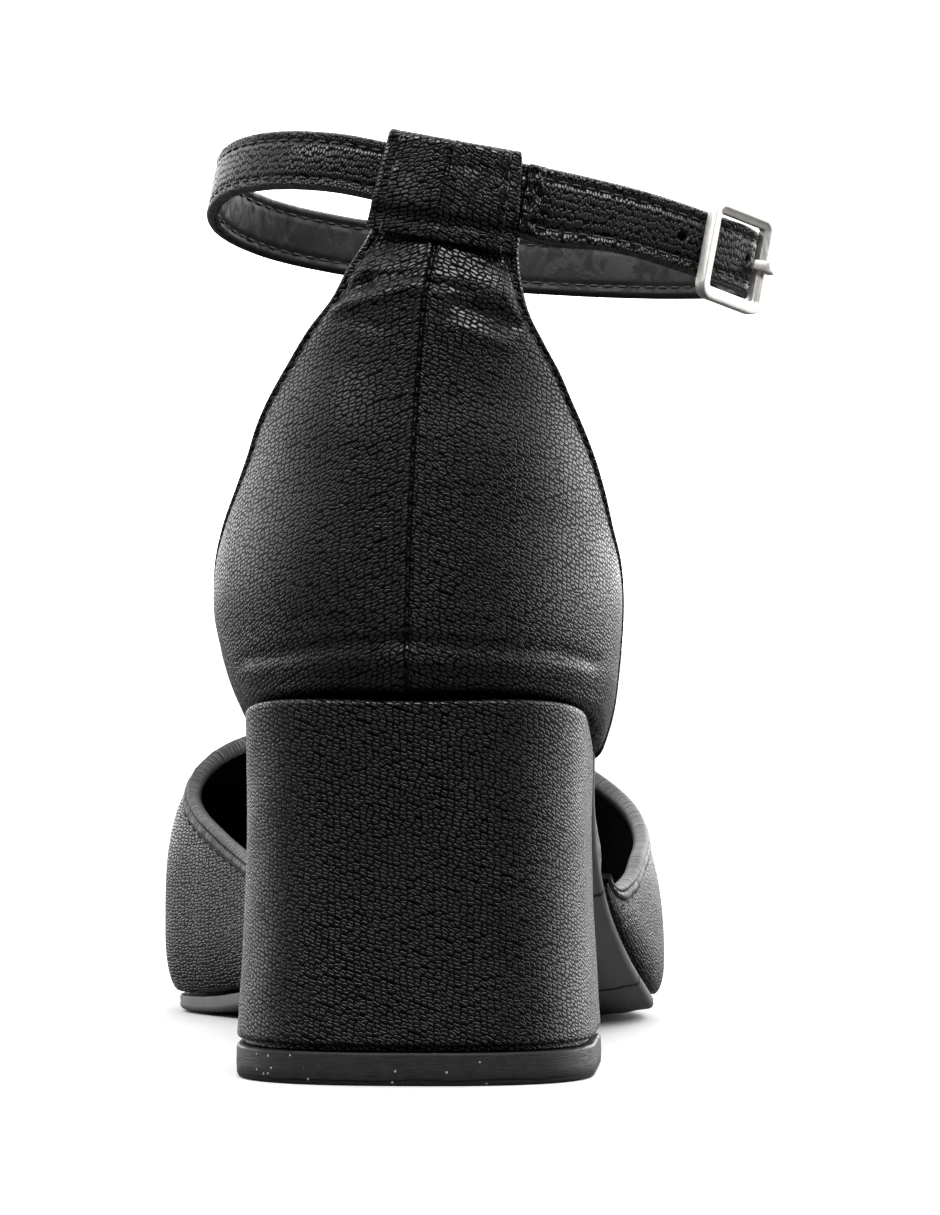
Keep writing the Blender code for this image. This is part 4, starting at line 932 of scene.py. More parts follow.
# %% Creases of the back part
# The fold is a table of level and rise. Each crease is a line of (x, z) places, its half width, and
# its rise: below 0 for a trough
FOLD = [
    (100.0, 0.0), (112.0, 0.0), (118.0, 0.45), (122.5, 1.05), (125.0, 1.25), (126.5, 1.05), (133.0, -0.95),
    (134.5, -1.15), (140.0, -0.8), (150.0, -0.6),
]
FOLD_LEAN = 0.098
CREASES = [
    ([(1.0, 127.4), (-4.5, 126.8), (-8.0, 126.0)], 0.7, -0.5),
    ([(-6.5, 125.9), (-10.0, 124.9), (-14.0, 123.6)], 1.4, -1.1),
    ([(1.0, 125.4), (-6.0, 123.4), (-15.0, 120.8)], 1.0, 0.55),
    ([(2.8, 126.0), (6.0, 125.4), (9.0, 124.6)], 0.7, -0.55),
    ([(7.5, 122.6), (11.0, 121.4), (15.5, 119.6)], 1.6, -1.0),
    ([(3.6, 119.6), (9.0, 118.2), (15.5, 116.4)], 1.3, 0.3),
    ([(-12.0, 121.0), (-7.0, 119.5), (-3.0, 119.0)], 0.9, -0.18),
    ([(6.0, 120.5), (11.0, 119.0), (16.0, 116.5)], 0.9, -0.16),
    ([(-27.0, 66.2), (-17.4, 68.2), (-8.0, 69.6), (-0.6, 69.9)], 1.3, -0.42),
    ([(-0.6, 69.9), (10.0, 69.2), (21.9, 68.2), (28.0, 66.0)], 1.3, -0.42),
    ([(-26.0, 64.6), (-12.0, 66.6), (0.0, 67.2), (12.0, 66.6), (26.0, 64.4)], 1.8, 0.32),
    ([(-18.0, 74.0), (-12.0, 72.5), (-7.0, 72.8)], 1.0, -0.16),
    ([(5.0, 73.5), (12.0, 72.6), (17.0, 74.0)], 1.0, -0.16),
]


def line_distance(x, z, line):
    """Distance of each place from a line of points."""
    nearest = np.full(x.shape, 1e9)
    for (x0, z0), (x1, z1) in zip(line, line[1:]):
        dx, dz = x1 - x0, z1 - z0
        t = (((x - x0) * dx + (z - z0) * dz) / (dx * dx + dz * dz)).clip(0, 1)
        nearest = np.minimum(nearest, np.hypot(x - x0 - t * dx, z - z0 - t * dz))
    return nearest


def creased(face, creases):
    """Sum of soft troughs and ridges over a face, in millimetres."""
    x, z = face[..., 0], face[..., 2]
    return sum(rise * bell(line_distance(x, z, line), width) for line, width, rise in creases)


def ridged(distance, ridges):
    """Sum of soft ridges beside a line: (distance from it, half width, rise)."""
    return sum(rise * bell(distance - place, width) for place, width, rise in ridges)


STITCH_INSET = 2.0
SEAM_RIDGES = [(0.1, 0.32, -0.60), (-0.75, 0.5, 0.32), (1.3, 0.8, 0.12)]
EDGE_RIDGES = [(STITCH_INSET, 0.45, -0.38), (1.0, 0.55, 0.26)]
EDGE_DROP, EDGE_RUN = 0.35, 0.8
behind = ramp(40.0 - quarter_face[..., 1], 0.0, 14.0) * ramp(from_edge, 0.5, 5.0)
relief = creased(quarter_face, CREASES) * behind
fold_level = quarter_face[..., 2] + FOLD_LEAN * (quarter_face[..., 0] - 4.4)
relief += smooth(FOLD, 1, fold_level.clip(100.0, 150.0)) * behind
relief += 0.13 * unevenness(quarter_face[..., 0] * 1.2, quarter_face[..., 2], 19.0)
relief += ridged(from_seam, SEAM_RIDGES) + ridged(from_edge, EDGE_RIDGES)
relief -= EDGE_DROP * (1 - from_edge / EDGE_RUN).clip(0) ** 2
print("relief from", round(float(relief.min()), 2), "to", round(float(relief.max()), 2), "mm")

# %% Wall of the back part
EDGE_ROLL = 0.45
outer = quarter_face + quarter_out * relief[..., None]
inner = (quarter_face + quarter_out * (relief.clip(-3, 0) - QUARTER_WALL)[..., None])[:, ::-1]


def rolled_end(near, far, step):
    """Three points that round the wall's edge between its outer and inner face."""
    past = unit(step) * EDGE_ROLL
    shares = ((0.8, 0.8), (0.5, 1.0), (0.2, 0.8))
    return np.stack([near * k + far * (1 - k) + past * push for k, push in shares], axis=1)


right_end = rolled_end(outer[:, -1], inner[:, 0], outer[:, -1] - outer[:, -3])
left_end = rolled_end(inner[:, -1], outer[:, 0], outer[:, 0] - outer[:, 2])
shell = np.concatenate([outer, right_end, inner, left_end], axis=1)
middle = (outer + inner[:, ::-1]) / 2
shut = [middle, np.repeat(middle[:, -1:], 3, axis=1), middle[:, ::-1], np.repeat(middle[:, :1], 3, axis=1)]
shut = np.concatenate(shut, axis=1)
shell = np.concatenate([shut[:1], shell, shut[-1:]])
paint = [0] * (outer.shape[1] + 2) + [1] * (inner.shape[1] + 1) + [0] * 3
level = np.concatenate([quarter_face[:1, :, 2], quarter_face[..., 2], quarter_face[-1:, :, 2]])
beside = np.concatenate([from_seam[:1], from_seam, from_seam[-1:]])
edge_step = np.array([0.6, 1.2, 1.8])
ends = (beside[:, -1:] + edge_step, beside[:, ::-1], beside[:, :1] - edge_step[::-1])
beside = np.concatenate([beside, *ends], axis=1)
level = np.concatenate([level, level[:, -3:], level[:, ::-1], level[:, :3]], axis=1)
quarter = loft("quarter_upper", shell, [hide, lining], True, False, paint, (beside, level))
report(quarter)

# %% [markdown]
# ## Strap
# The ankle strap is two layers of leather sewn along both rims. It starts at the buckle's hook, runs
# round the front of the ankle, passes through a tunnel at the top of the back part, and goes on
# through the buckle to its free end. One measured route carries the strap, its tunnel and its keeper.

# %% Route of the strap
STRAP_ROUTE = np.array([
    (51.6, 42.0, 127.9), (46.5, 47.5, 127.7), (38.0, 52.5, 127.6), (22.0, 56.5, 128.1), (3.0, 58.0, 129.5),
    (-15.0, 56.0, 131.7), (-26.0, 50.0, 134.5), (-31.8, 41.0, 137.9), (-32.2, 32.0, 141.1),
    (-29.0, 23.5, 143.9), (-21.5, 16.2, 145.2), (-12.0, 11.8, 144.8), (-3.0, 10.0, 143.1),
    (6.2, 9.4, 141.45), (15.5, 10.0, 139.8), (26.0, 12.3, 137.6), (37.0, 16.8, 134.7), (46.0, 22.2, 131.6),
    (50.8, 27.6, 129.8), (52.4, 33.0, 128.6), (50.6, 38.2, 128.0), (47.2, 42.5, 127.7),
])
LOOP_NORMAL = np.array([0.18, 0.20, 0.96])
ROUTE_CHORD = run_of(STRAP_ROUTE)


def route_frames(points):
    """Directions up the strap's width and outwards from it, at points of its route."""
    tangent = unit(np.gradient(points, axis=0))
    normal = unit(LOOP_NORMAL)
    up = unit(normal - tangent * (tangent @ normal)[:, None])
    return points, up, np.cross(tangent, up)


def route_points(count):
    table = np.column_stack([ROUTE_CHORD, STRAP_ROUTE])
    fine = np.linspace(0, ROUTE_CHORD[-1], count)
    return np.stack([smooth(table, k, fine) for k in (1, 2, 3)], axis=1)


def back_frames(low, high, count):
    """Frames across the back of the heel, between two sideways places."""
    dense = route_points(3000)
    behind = dense[(dense[:, 1] < 30) & (dense[:, 0] > low) & (dense[:, 0] < high)]
    return route_frames(resample(behind, np.linspace(0, run_of(behind)[-1], count)))


def flat_section(height, thickness, round_by, count):
    """Evenly spaced outline of a flat bar with round edges: offsets up and out, from inside below."""
    h, t, r = height / 2, thickness / 2, round_by
    turn = np.linspace(0, math.pi / 2, 12)
    upper = np.column_stack([h - r + r * np.sin(turn), t - r + r * np.cos(turn)])
    loop = np.concatenate([upper * (-1, -1), upper[::-1] * (-1, 1), upper, upper[::-1] * (1, -1)])
    loop = np.concatenate([loop, loop[:1]])
    return resample(loop, np.linspace(0, run_of(loop)[-1], count + 1))[:-1]


def swept(frames, sections):
    """Rings of a section carried along frames; sections is one outline or one for each frame."""
    points, up, out = [f[:, None] for f in frames]
    sections = np.broadcast_to(sections, (len(points),) + np.asarray(sections).shape[-2:])
    return points + up * sections[..., :1] + out * sections[..., 1:]


print("strap route:", round(float(run_of(route_points(2000))[-1]), 1), "mm")

# %% [markdown]
# The tunnel is the top of the back part folded over and sewn down, with the back seam running up its
# middle. It is a flat tube along the strap's route with a slot through it. Its hide sags a little
# between the stitches, so it gets its own creases.

# %% Tunnel at the top of the back part
TUNNEL_LEFT, TUNNEL_RIGHT = -5.0, 16.0
TUNNEL_HEIGHT, TUNNEL_THICKNESS = 13.6, 5.4
SLOT_HEIGHT, SLOT_THICKNESS = 10.3, 2.8
TUNNEL_SLANT = 1.1
TUNNEL_TUCK = 2.4
TUNNEL_STITCH = 1.9
TUNNEL_ROUND = 1.2
TUNNEL_FLARE = 1.4
TUNNEL_LAP = 2.0
TUNNEL_RIM = 0.35
TUNNEL_SEAM_RIDGES = [(0.55, 0.55, 0.38), (-0.15, 0.28, -0.45)]
TUNNEL_END_RIDGES = [(0.9, 0.6, 0.2), (TUNNEL_STITCH, 0.45, -0.34)]
TUNNEL_CREASES = [
    ([(-3.6, 147.8), (-1.6, 143.5), (-3.0, 138.5)], 1.1, -0.30),
    ([(0.5, 148.5), (1.6, 143.0), (0.2, 137.5)], 1.4, 0.22),
    ([(9.4, 146.8), (10.8, 142.0), (10.0, 136.0)], 1.2, -0.32),
    ([(12.8, 146.2), (13.6, 140.0), (12.4, 134.5)], 1.2, 0.25),
    ([(-7.0, 136.6), (5.0, 135.5), (17.0, 133.6)], 1.7, -1.3),
    ([(6.0, 138.8), (10.0, 137.8), (15.0, 136.4)], 1.0, -0.2),
    ([(6.5, 144.4), (11.0, 144.0), (15.5, 142.0)], 1.0, -0.18),
]
tunnel_frames = back_frames(TUNNEL_LEFT, TUNNEL_RIGHT, 72)
section = flat_section(TUNNEL_HEIGHT, TUNNEL_THICKNESS, TUNNEL_ROUND, 120)
along = run_of(tunnel_frames[0])
from_end = np.minimum(along, along[-1] - along)
rim = TUNNEL_RIM * (1 - np.sqrt(1 - (1 - from_end / TUNNEL_RIM).clip(0) ** 2))
section[:, 0] -= TUNNEL_TUCK * ramp(-section[:, 0], 3.0, 6.8)
section[:, 1] *= 1 - 0.75 * ramp(-section[:, 0], 4.5, 6.8 + TUNNEL_TUCK)
sections = section * (1 - rim[:, None, None] / np.array([TUNNEL_HEIGHT / 2, TUNNEL_THICKNESS / 2]))
tube = swept(tunnel_frames, sections)
share = along[:, None] / along[-1]
upward = section[:, 0] / TUNNEL_HEIGHT + 0.5
slant = (2 * TUNNEL_SLANT - TUNNEL_LAP * ramp(section[:, 1], -1.0, 1.5)) * upward * (1 - share) ** 2
slant += TUNNEL_FLARE * (1 - upward) * share**4
tube += np.cross(tunnel_frames[1], tunnel_frames[2])[:, None] * slant[..., None]
past_seam = tube[..., 0] - smooth(BACK_SEAM, 1, tube[..., 2])
relief = creased(tube, TUNNEL_CREASES) + ridged(past_seam, TUNNEL_SEAM_RIDGES)
relief += ridged(from_end, TUNNEL_END_RIDGES)[:, None]
relief *= ramp(sections[..., 1], 0.4, 2.4)
tube += tunnel_frames[2][:, None] * relief[..., None]
slot = swept(tunnel_frames, flat_section(SLOT_HEIGHT, SLOT_THICKNESS, 0.6, 120))
tunnel_face = tube
rows = np.concatenate([tube, slot[::-1], tube[:1]])
around = np.r_[run_of(section), run_of(section)[-1] + 0.3]
length = np.r_[along, along[::-1] + 1.5, along[:1]][:, None]
tunnel = loft("strap_tunnel", rows, [hide], True, place=(length - 10.0, around))
report(tunnel)

# %% [markdown]
# The strap is swept along its route as a flat section with rolled rims, sewn channels and a soft
# lining inside. Webbing like this is drawn directly, because a cloth simulation would melt its thin
# rims. On the buckle side it is a little wider, and its lower edge sags beside the keeper. Its holes
# are punched with an exact boolean. No light shows through them in the photograph, so the lining
# behind stays whole.

# %% Strap
STRAP_WIDTH, STRAP_THICKNESS = 9.5, 2.0
STRAP_STEPS = 560
CHANNEL = STRAP_WIDTH / 2 - 1.7
TIP_ROUND = 5.0
BACK_PLACE, SAG_PLACE = 150.0, 22.0
strap_frames = route_frames(route_points(STRAP_STEPS))
strap_run = run_of(strap_frames[0])
section = flat_section(STRAP_WIDTH, STRAP_THICKNESS, 0.85, 60)
side = ramp(section[:, 1], -0.3, 0.3) * 2 - 1
profile = -0.30 * bell(np.abs(section[:, 0]) - CHANNEL, 0.45) + 0.08 * bell(section[:, 0], 2.4)
profile += 0.05 * bell(np.abs(section[:, 0]) - CHANNEL - 0.95, 0.5)
bend = np.linalg.norm(np.gradient(unit(np.gradient(strap_frames[0], axis=0)), axis=0), axis=1)
bend = bend / np.gradient(strap_run)
wave = 0.07 * unevenness(strap_run[:, None], section[:, 0] * 1.5, 12.0)
pleats = unevenness(strap_run[:, None], section[:, 0] * 0.5, 3.1).clip(-0.2, 1)
profile = profile - 0.22 * pleats * ramp(bend, 0.015, 0.05)[:, None] * (side < 0)
sections = np.broadcast_to(section, (STRAP_STEPS,) + section.shape).copy()
sections[..., 1] += side * profile + wave
from_tip = (strap_run[-1] - strap_run) / TIP_ROUND
sections[..., 0] *= np.sqrt(1 - (1 - from_tip).clip(0, 0.98) ** 2)[:, None]
wider = 1 + 0.12 * ramp(strap_run, BACK_PLACE, BACK_PLACE + 12)
sag = bell(strap_frames[0][:, 0] - SAG_PLACE, 7.0) * ramp(strap_run, BACK_PLACE, BACK_PLACE + 12)
sagging = wider * (1 + 0.30 * sag)
sections[..., 0] *= np.where(section[:, 0] < 0, sagging[:, None], wider[:, None])
around = run_of(section)
spots = (strap_run[:, None], around[None])
paint = np.where(section[:, 1] > 0.7, 0, np.where(section[:, 1] < -0.7, 1, 2))
strap_finishes = [strap_hide, lining, edge_hide]
strap = loft("ankle_strap_sewn", swept(strap_frames, sections), strap_finishes, True, True, paint, spots)
report(strap)

# %% Holes in the strap
HOLE_PLACES = (192.6, 206.6, 214.6)
HOLE_RADIUS = 0.85
HOLE_SIDES = 20
turn = np.linspace(0, 2 * math.pi, HOLE_SIDES + 1)[:-1]
for place in HOLE_PLACES:
    i = int(np.searchsorted(strap_run, place))
    point, up, out = [f[i] for f in strap_frames]
    side_way = np.cross(up, out)
    ring = HOLE_RADIUS * (np.cos(turn)[:, None] * up + np.sin(turn)[:, None] * side_way)
    steps = [(-0.8, 0.35), (-0.6, 0.45), (0.1, 0.95), (0.75, 1.0), (3.0, 1.6)]
    punch = loft("punch", [point + ring * k + out * d for d, k in steps], [edge_hide], around=True, caps=True)
    cut = strap.modifiers.new("hole", "BOOLEAN")
    cut.operation = "DIFFERENCE"
    cut.solver = "EXACT"
    cut.object = punch
    baked(strap)
    bpy.data.objects.remove(punch)
report(strap)

# %% Keeper beside the tunnel
KEEPER_PLACE, KEEPER_WIDTH, KEEPER_WALL = 18.6, 2.9, 0.8
keeper_frames = back_frames(KEEPER_PLACE - KEEPER_WIDTH / 2, KEEPER_PLACE + KEEPER_WIDTH / 2, 26)
inside = (STRAP_WIDTH + 2 * SEAM_GAP, STRAP_THICKNESS + 2 * SEAM_GAP)
section = flat_section(inside[0] + 2 * KEEPER_WALL, inside[1] + 2 * KEEPER_WALL, 1.2, 110)
along = run_of(keeper_frames[0])
from_end = np.minimum(along, along[-1] - along)
rim = 0.4 * (1 - np.sqrt(1 - (1 - from_end / 0.4).clip(0) ** 2))
section[:, 0] = section[:, 0] * 0.95 - 0.25
tube = swept(keeper_frames, section * (1 - rim[:, None, None] / np.array([6.0, 2.2])))
crumple = 0.45 * unevenness(section[:, 0] * 1.3 + along[:, None] * 0.8, along[:, None] * 1.8, 3.4)
crumple = crumple * ramp(section[:, 1], 0.2, 1.8)
tube = tube + keeper_frames[2][:, None] * crumple[..., None]
slot = swept(keeper_frames, flat_section(*inside, 0.6, 110))
length = np.r_[along, along[::-1] + 1.0, along[:1]][:, None]
rows = np.concatenate([tube, slot[::-1], tube[:1]])
keeper = loft("strap_keeper_loop", rows, [strap_hide], True, place=(length, run_of(section)[None]))
report(keeper)

# %% [markdown]
# ## Buckle
# The buckle is a cast frame with a flat face and a sloped inner edge, so each bar shows two bands of
# light. A bent hook on the strap's front end catches its far bar. Bevels give the metal the small
# round edges that polishing leaves.

# %% Buckle frame
BUCKLE_HEIGHT, BUCKLE_BAR, BUCKLE_THICKNESS, BUCKLE_CORNER = 16.0, 2.1, 1.8, 1.4
BUCKLE_STAND_OFF, BUCKLE_DROP = 0.3, 0.6
BAR_NEAR, BAR_FAR = (44.8, 21.3, 132.0), (52.4, 30.0, 129.1)
BAR_SECTION = [(1.05, -0.9), (1.05, 0.9), (-0.10, 0.9), (-0.38, 0.62), (-1.05, 0.45), (-1.05, -0.9)]
bars = []
buckle_route = route_frames(route_points(400))
for place in (BAR_NEAR, BAR_FAR):
    i = int(np.linalg.norm(buckle_route[0] - place, axis=1).argmin())
    point, up, out = [f[i] for f in buckle_route]
    stand = STRAP_THICKNESS / 2 + SEAM_GAP + BUCKLE_THICKNESS / 2 + BUCKLE_STAND_OFF
    bars.append((point + out * stand - up * BUCKLE_DROP, up))
bar_near, bar_far = bars[0][0], bars[1][0]
bar_along = unit(bar_far - bar_near)
bar_up = bars[0][1] + bars[1][1]
bar_up = unit(bar_up - bar_along * (bar_up @ bar_along))
bar_out = np.cross(bar_along, bar_up)


def soften(made, width, segments=3):
    """Rounds the sharp edges of a metal piece."""
    bevel = made.modifiers.new("polish", "BEVEL")
    bevel.width = width * MM
    bevel.segments = segments
    bevel.limit_method = "ANGLE"
    bevel.angle_limit = math.radians(20)
    bevel.harden_normals = False
    baked(made)
    finish_mesh(made.data, 60)


half_run = np.linalg.norm(bar_far - bar_near) / 2
half_rise = (BUCKLE_HEIGHT - BUCKLE_BAR) / 2
rings = []
for corner, (a, b) in enumerate(((1, 1), (-1, 1), (-1, -1), (1, -1))):
    centre = (bar_near + bar_far) / 2 + bar_along * a * (half_run - BUCKLE_CORNER)
    centre = centre + bar_up * b * (half_rise - BUCKLE_CORNER)
    for step in np.linspace(0, 1, 9):
        angle = math.pi / 2 * (corner + step)
        away = bar_along * math.cos(angle) + bar_up * math.sin(angle)
        rings.append([centre + away * (BUCKLE_CORNER + u) + bar_out * v for u, v in BAR_SECTION])
rings.append(rings[0])
buckle = loft("buckle_frame_plated", rings, [nickel], around=True)
soften(buckle, 0.16)
report(buckle)

# %% Hook on the strap's end
HOOK_WIDTH, HOOK_WALL = 3.4, 0.9
reach = BUCKLE_BAR / 2 + SEAM_GAP + HOOK_WALL / 2
stand = BUCKLE_THICKNESS / 2 + SEAM_GAP + HOOK_WALL / 2
bends = np.linspace(math.pi, 0, 21)
path = [bar_far + bar_along * reach * math.cos(t) + bar_out * stand * math.sin(t) for t in bends]
for i in (0, 4, 8, 12, 16):
    path.append(buckle_route[0][i] + buckle_route[2][i] * (STRAP_THICKNESS / 2 + SEAM_GAP + HOOK_WALL / 2))
path = np.array(path)
sides = unit(np.cross(unit(np.gradient(path, axis=0)), bar_up))
corners = np.array([(1, 1), (1, -1), (-1, -1), (-1, 1)]) * (HOOK_WIDTH / 2, HOOK_WALL / 2)
widths = np.interp(np.arange(len(path)), (0, 20, len(path) - 1), (0.42, 0.50, 1.0))
rings = [[p + bar_up * u * w + s * v for u, v in corners] for p, s, w in zip(path, sides, widths)]
hook = loft("buckle_hook_plated", rings, [nickel], around=True, caps=True)
soften(hook, 0.2)
report(hook)

# %% [markdown]
# ## Stitches
# All sewn rows are lockstitches about ten to the inch, in black thread; on the back seam the thread
# is coloured grey as a painted highlight for the glints on it. A Geometry Nodes tree lays one short
# stitch at each step of a row, turned along it, so that all rows share one recipe. Hundreds of
# stitches placed by hand or by an array would not follow the curved rows.

# %% Tree that sews a row
SEED = 7
sewing = bpy.data.node_groups.new("sewn_row", "GeometryNodeTree")
SOCKETS = {"Row": "Geometry", "Pitch": "Float", "Length": "Float", "Radius": "Float", "Seed": "Int"}
for name, kind in SOCKETS.items():
    sewing.interface.new_socket(name, in_out="INPUT", socket_type="NodeSocket" + kind)
sewing.interface.new_socket("Stitches", in_out="OUTPUT", socket_type="NodeSocketGeometry")
given = node(sewing, "NodeGroupInput").outputs
row = node(sewing, "GeometryNodeMeshToCurve", {"Mesh": given["Row"]}).outputs[0]
row = {"Curve": row, "Length": given["Pitch"]}
row = node(sewing, "GeometryNodeResampleCurve", row, mode="LENGTH").outputs[0]
way = node(sewing, "GeometryNodeInputTangent").outputs[0]
turned = node(sewing, "FunctionNodeAlignRotationToVector", {"Vector": way}, axis="X").outputs[0]
half = node(sewing, "ShaderNodeMath", [given["Length"], 0.5], operation="MULTIPLY").outputs[0]
sizes = node(sewing, "ShaderNodeCombineXYZ", [half, given["Radius"], given["Radius"]]).outputs[0]
drop = node(sewing, "GeometryNodeMeshUVSphere", {"Segments": 8, "Rings": 6, "Radius": 1.0}).outputs[0]
stitch = node(sewing, "GeometryNodeTransform", {"Geometry": drop, "Scale": sizes}).outputs[0]
vary = node(sewing, "FunctionNodeRandomValue", {"Seed": given["Seed"]}, data_type="FLOAT")
vary.inputs[2].default_value, vary.inputs[3].default_value = 0.88, 1.08
laid = {"Points": row, "Instance": stitch, "Rotation": turned, "Scale": vary.outputs[1]}
laid = node(sewing, "GeometryNodeInstanceOnPoints", laid).outputs[0]
laid = node(sewing, "GeometryNodeRealizeInstances", {"Geometry": laid}).outputs[0]
smooth_faces = node(sewing, "GeometryNodeSetShadeSmooth", {0: laid}).outputs[0]
dyed = node(sewing, "GeometryNodeSetMaterial", {"Geometry": smooth_faces, "Material": thread}).outputs[0]
node(sewing, "NodeGroupOutput", {"Stitches": dyed})
print("sewing tree nodes:", len(sewing.nodes))


def sew(name, lines, pitch, length, radius):
    """Object with a stitch at each step of some lines; sizes in millimetres."""
    places, edges = [], []
    for line in lines:
        start = len(places)
        places += ((np.asarray(line) + SHOE_ORIGIN) * MM).tolist()
        edges += [(i, i + 1) for i in range(start, len(places) - 1)]
    mesh = bpy.data.meshes.new(name)
    mesh.from_pydata(places, edges, [])
    made = bpy.data.objects.new(name, mesh)
    bpy.context.scene.collection.objects.link(made)
    values = {"Pitch": pitch * MM, "Length": length * MM, "Radius": radius * MM, "Seed": SEED}
    sewn = made.modifiers.new("sewing", "NODES")
    sewn.node_group = sewing
    for socket in sewing.interface.items_tree:
        if socket.name in values:
            sewn[socket.identifier] = values[socket.name]
    baked(made)
    report(made)
    return made


# %% Rows on the back part, tunnel, vamp and strap
def row_at(distance, from_right):
    """Line on the back part at a distance inside one of its front edges."""
    points = []
    for face, run in zip(outer[24:], along_rows[24:]):
        place = run[-1] - distance if from_right else distance
        points.append([np.interp(place, run, face[:, k]) for k in range(3)])
    return np.array(points)


edge_rows = [row_at(STITCH_INSET, False), row_at(STITCH_INSET, True)]
quarter_stitches = sew("quarter_stitches", edge_rows, 2.6, 1.9, 0.26)
seam_row = outer[12:, SIDE_COLUMNS - 1] + quarter_out[12:, SIDE_COLUMNS - 1] * 0.12
seam_stitches = sew("back_seam_stitches", [seam_row], 2.3, 0.8, 0.13)
# The back seam gets the grey thread, a painted highlight.
seam_stitches.data.materials[0] = seam_thread_painted_glint
flat = flat_section(TUNNEL_HEIGHT, TUNNEL_THICKNESS, TUNNEL_ROUND, 120)
face_points = np.flatnonzero((flat[:, 1] > 2.0) & (flat[:, 0] < TUNNEL_HEIGHT / 2 - 1.6))
tunnel_run = run_of(tunnel_frames[0])
tunnel_rows = []
for place in (TUNNEL_STITCH, tunnel_run[-1] - TUNNEL_STITCH):
    i = int(np.searchsorted(tunnel_run, place))
    tunnel_rows.append(tunnel_face[i][face_points])
tunnel_stitches = sew("tunnel_stitches", tunnel_rows, 2.2, 1.7, 0.19)
vamp_stitches = sew("vamp_stitches", [vamp_stitch_line], 2.4, 1.8, 0.18)
strap_rows = []
point, up, out = strap_frames
inside_strap = slice(6, STRAP_STEPS - 16)
for rim in (-CHANNEL, CHANNEL):
    spread = (wider if rim > 0 else sagging)[:, None] * rim
    for face in (1, -1):
        offset = face * (STRAP_THICKNESS / 2 - 0.16)
        strap_rows.append((point + up * spread + out * offset)[inside_strap])
strap_stitches = sew("strap_stitches", strap_rows, 2.3, 1.75, 0.20)

# %% [markdown]
# ## Floor and light
# The photograph was taken on white paper: pale floor, white surroundings beyond the shoe that put a
# bright rim on both sides of it, and darkness behind the camera that keeps the middle of the heel
# black. One long strip softbox in front and above lights the fold under the tunnel. The floor is pale
# to the camera and grey to reflections and bounced light, because paper that shone from below would
# wash out the black leather.

# %% Paper floor
FLOOR_SIZE, PAPER_FIBRE = 3.0, 2.0
paper, tree, shader = new_finish("white_background_paper", IOR=1.45)
where = node(tree, "ShaderNodeTexCoord").outputs["Object"]
fibre = {"Vector": where, "Scale": 1 / (PAPER_FIBRE * MM), "Detail": 3.0}
fibre = node(tree, "ShaderNodeTexNoise", fibre).outputs["Fac"]
pale = node(tree, "ShaderNodeMix", {0: fibre, 6: linear("#bcbcbc"), 7: linear("#c2c2c2")}, **COLOURS)
ray = node(tree, "ShaderNodeLightPath").outputs
unseen = {0: ray["Is Diffuse Ray"], 6: linear("#3c3c3c"), 7: linear("#929292")}
unseen = node(tree, "ShaderNodeMix", unseen, **COLOURS)
tone = {0: ray["Is Camera Ray"], 6: unseen.outputs[2], 7: pale.outputs[2]}
tone = node(tree, "ShaderNodeMix", tone, **COLOURS)
rough = node(tree, "ShaderNodeMapRange", [fibre, 0.3, 0.7, 0.80, 0.9], **EASED).outputs[0]
shade(tree, shader, tone.outputs[2], rough, fibre, 0.02)
mesh = bpy.data.meshes.new("paper_floor")
h = FLOOR_SIZE / 2
mesh.from_pydata([(-h, -h, 0), (h, -h, 0), (h, h, 0), (-h, h, 0)], [], [(0, 1, 2, 3)])
mesh.materials.append(paper)
floor = bpy.data.objects.new("paper_floor", mesh)
bpy.context.scene.collection.objects.link(floor)

# %% Surroundings and lamps
SURROUND_FRONT, SURROUND_BACK, SURROUND_TOP, SURROUND_RIGHT = 0.02, 3.4, 1.2, 2.2
world = bpy.data.worlds.new("white_studio")
bpy.context.scene.world = world
world.use_nodes = True
tree = world.node_tree
direction = node(tree, "ShaderNodeTexCoord").outputs["Generated"]
direction = node(tree, "ShaderNodeSeparateXYZ", [direction]).outputs
level = [direction["Y"], -0.30, 0.40, SURROUND_FRONT, SURROUND_BACK]
level = node(tree, "ShaderNodeMapRange", level, **EASED).outputs[0]
above = [direction["Z"], 0.35, 0.95, 0.0, SURROUND_TOP]
above = node(tree, "ShaderNodeMapRange", above, **EASED).outputs[0]
aside = [direction["X"], 0.0, 0.4, 0.0, SURROUND_RIGHT]
aside = node(tree, "ShaderNodeMapRange", aside, **EASED).outputs[0]
beyond = node(tree, "ShaderNodeMapRange", [direction["Y"], 0.05, 0.50, 0.0, 1.0], **EASED).outputs[0]
level = node(tree, "ShaderNodeMath", [aside, beyond, level], operation="MULTIPLY_ADD").outputs[0]
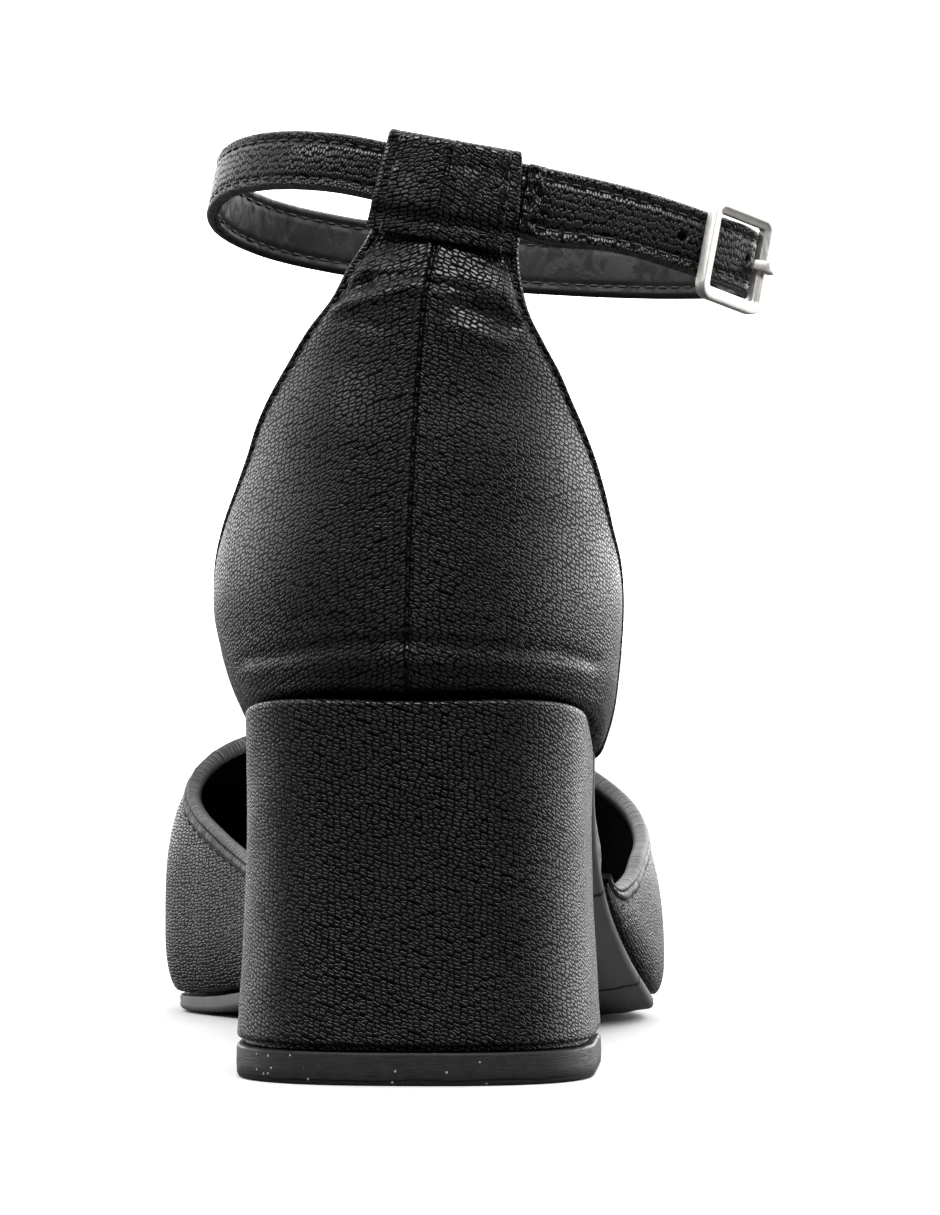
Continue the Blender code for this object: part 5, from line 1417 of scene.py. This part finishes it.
glow = node(tree, "ShaderNodeMath", [level, above], operation="MAXIMUM").outputs[0]
seen = node(tree, "ShaderNodeLightPath").outputs["Is Camera Ray"]
glow = node(tree, "ShaderNodeMath", [glow, seen], operation="MAXIMUM").outputs[0]
tree.nodes["Background"].inputs["Color"].default_value = linear("#ffffff")
tree.links.new(glow, tree.nodes["Background"].inputs["Strength"])


LAMP_AIM = Vector((0, -0.08, 0.07))


def softbox(name, place, size, power):
    """Wide lamp that looks at the middle of the shoe."""
    lamp = bpy.data.lights.new(name, "AREA")
    lamp.shape = "RECTANGLE"
    lamp.size, lamp.size_y = size
    lamp.energy = power
    made = bpy.data.objects.new(name, lamp)
    made.location = place
    made.rotation_euler = (LAMP_AIM - Vector(place)).to_track_quat("-Z", "Y").to_euler()
    bpy.context.scene.collection.objects.link(made)


softbox("strip_softbox", (0.05, -0.95, 1.20), (4.0, 0.34), 60.0)
bpy.context.scene.view_settings.view_transform = "Standard"
print("lamps:", len(bpy.data.lights))

# %% [markdown]
# ## Pieces on the body
# Every piece rides on the shoe's one body, and the solid it stands for is hidden.

# %% Bodies and solids
PIECES = [
    (heel, "heel_cover", "heel_block"), (lift, "top_lift_plastic", "top_lift"),
    (outsole, "sole_rubber", "outsole"), (insole, "insole_lining", "insole"),
    (vamp, "upper_leather", "vamp"), (binding, "upper_leather", None),
    (quarter, "upper_leather", "quarter"), (tunnel, "upper_leather", None),
    (strap, "strap_leather", "ankle_strap"), (keeper, "strap_leather", "strap_keeper"),
    (buckle, "buckle_metal", "buckle_frame"), (hook, "buckle_metal", "buckle_hook"),
    (quarter_stitches, "upper_leather", None), (seam_stitches, "upper_leather", None),
    (tunnel_stitches, "upper_leather", None), (vamp_stitches, "upper_leather", None),
    (strap_stitches, "strap_leather", None),
]
for piece, slot_name, solid in PIECES:
    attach(piece, "root")
    if solid:
        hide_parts(solid)
triangles = sum(len(face.vertices) - 2 for made, _, _ in PIECES for face in made.data.polygons)
print("pieces:", len(PIECES), "triangles:", triangles)
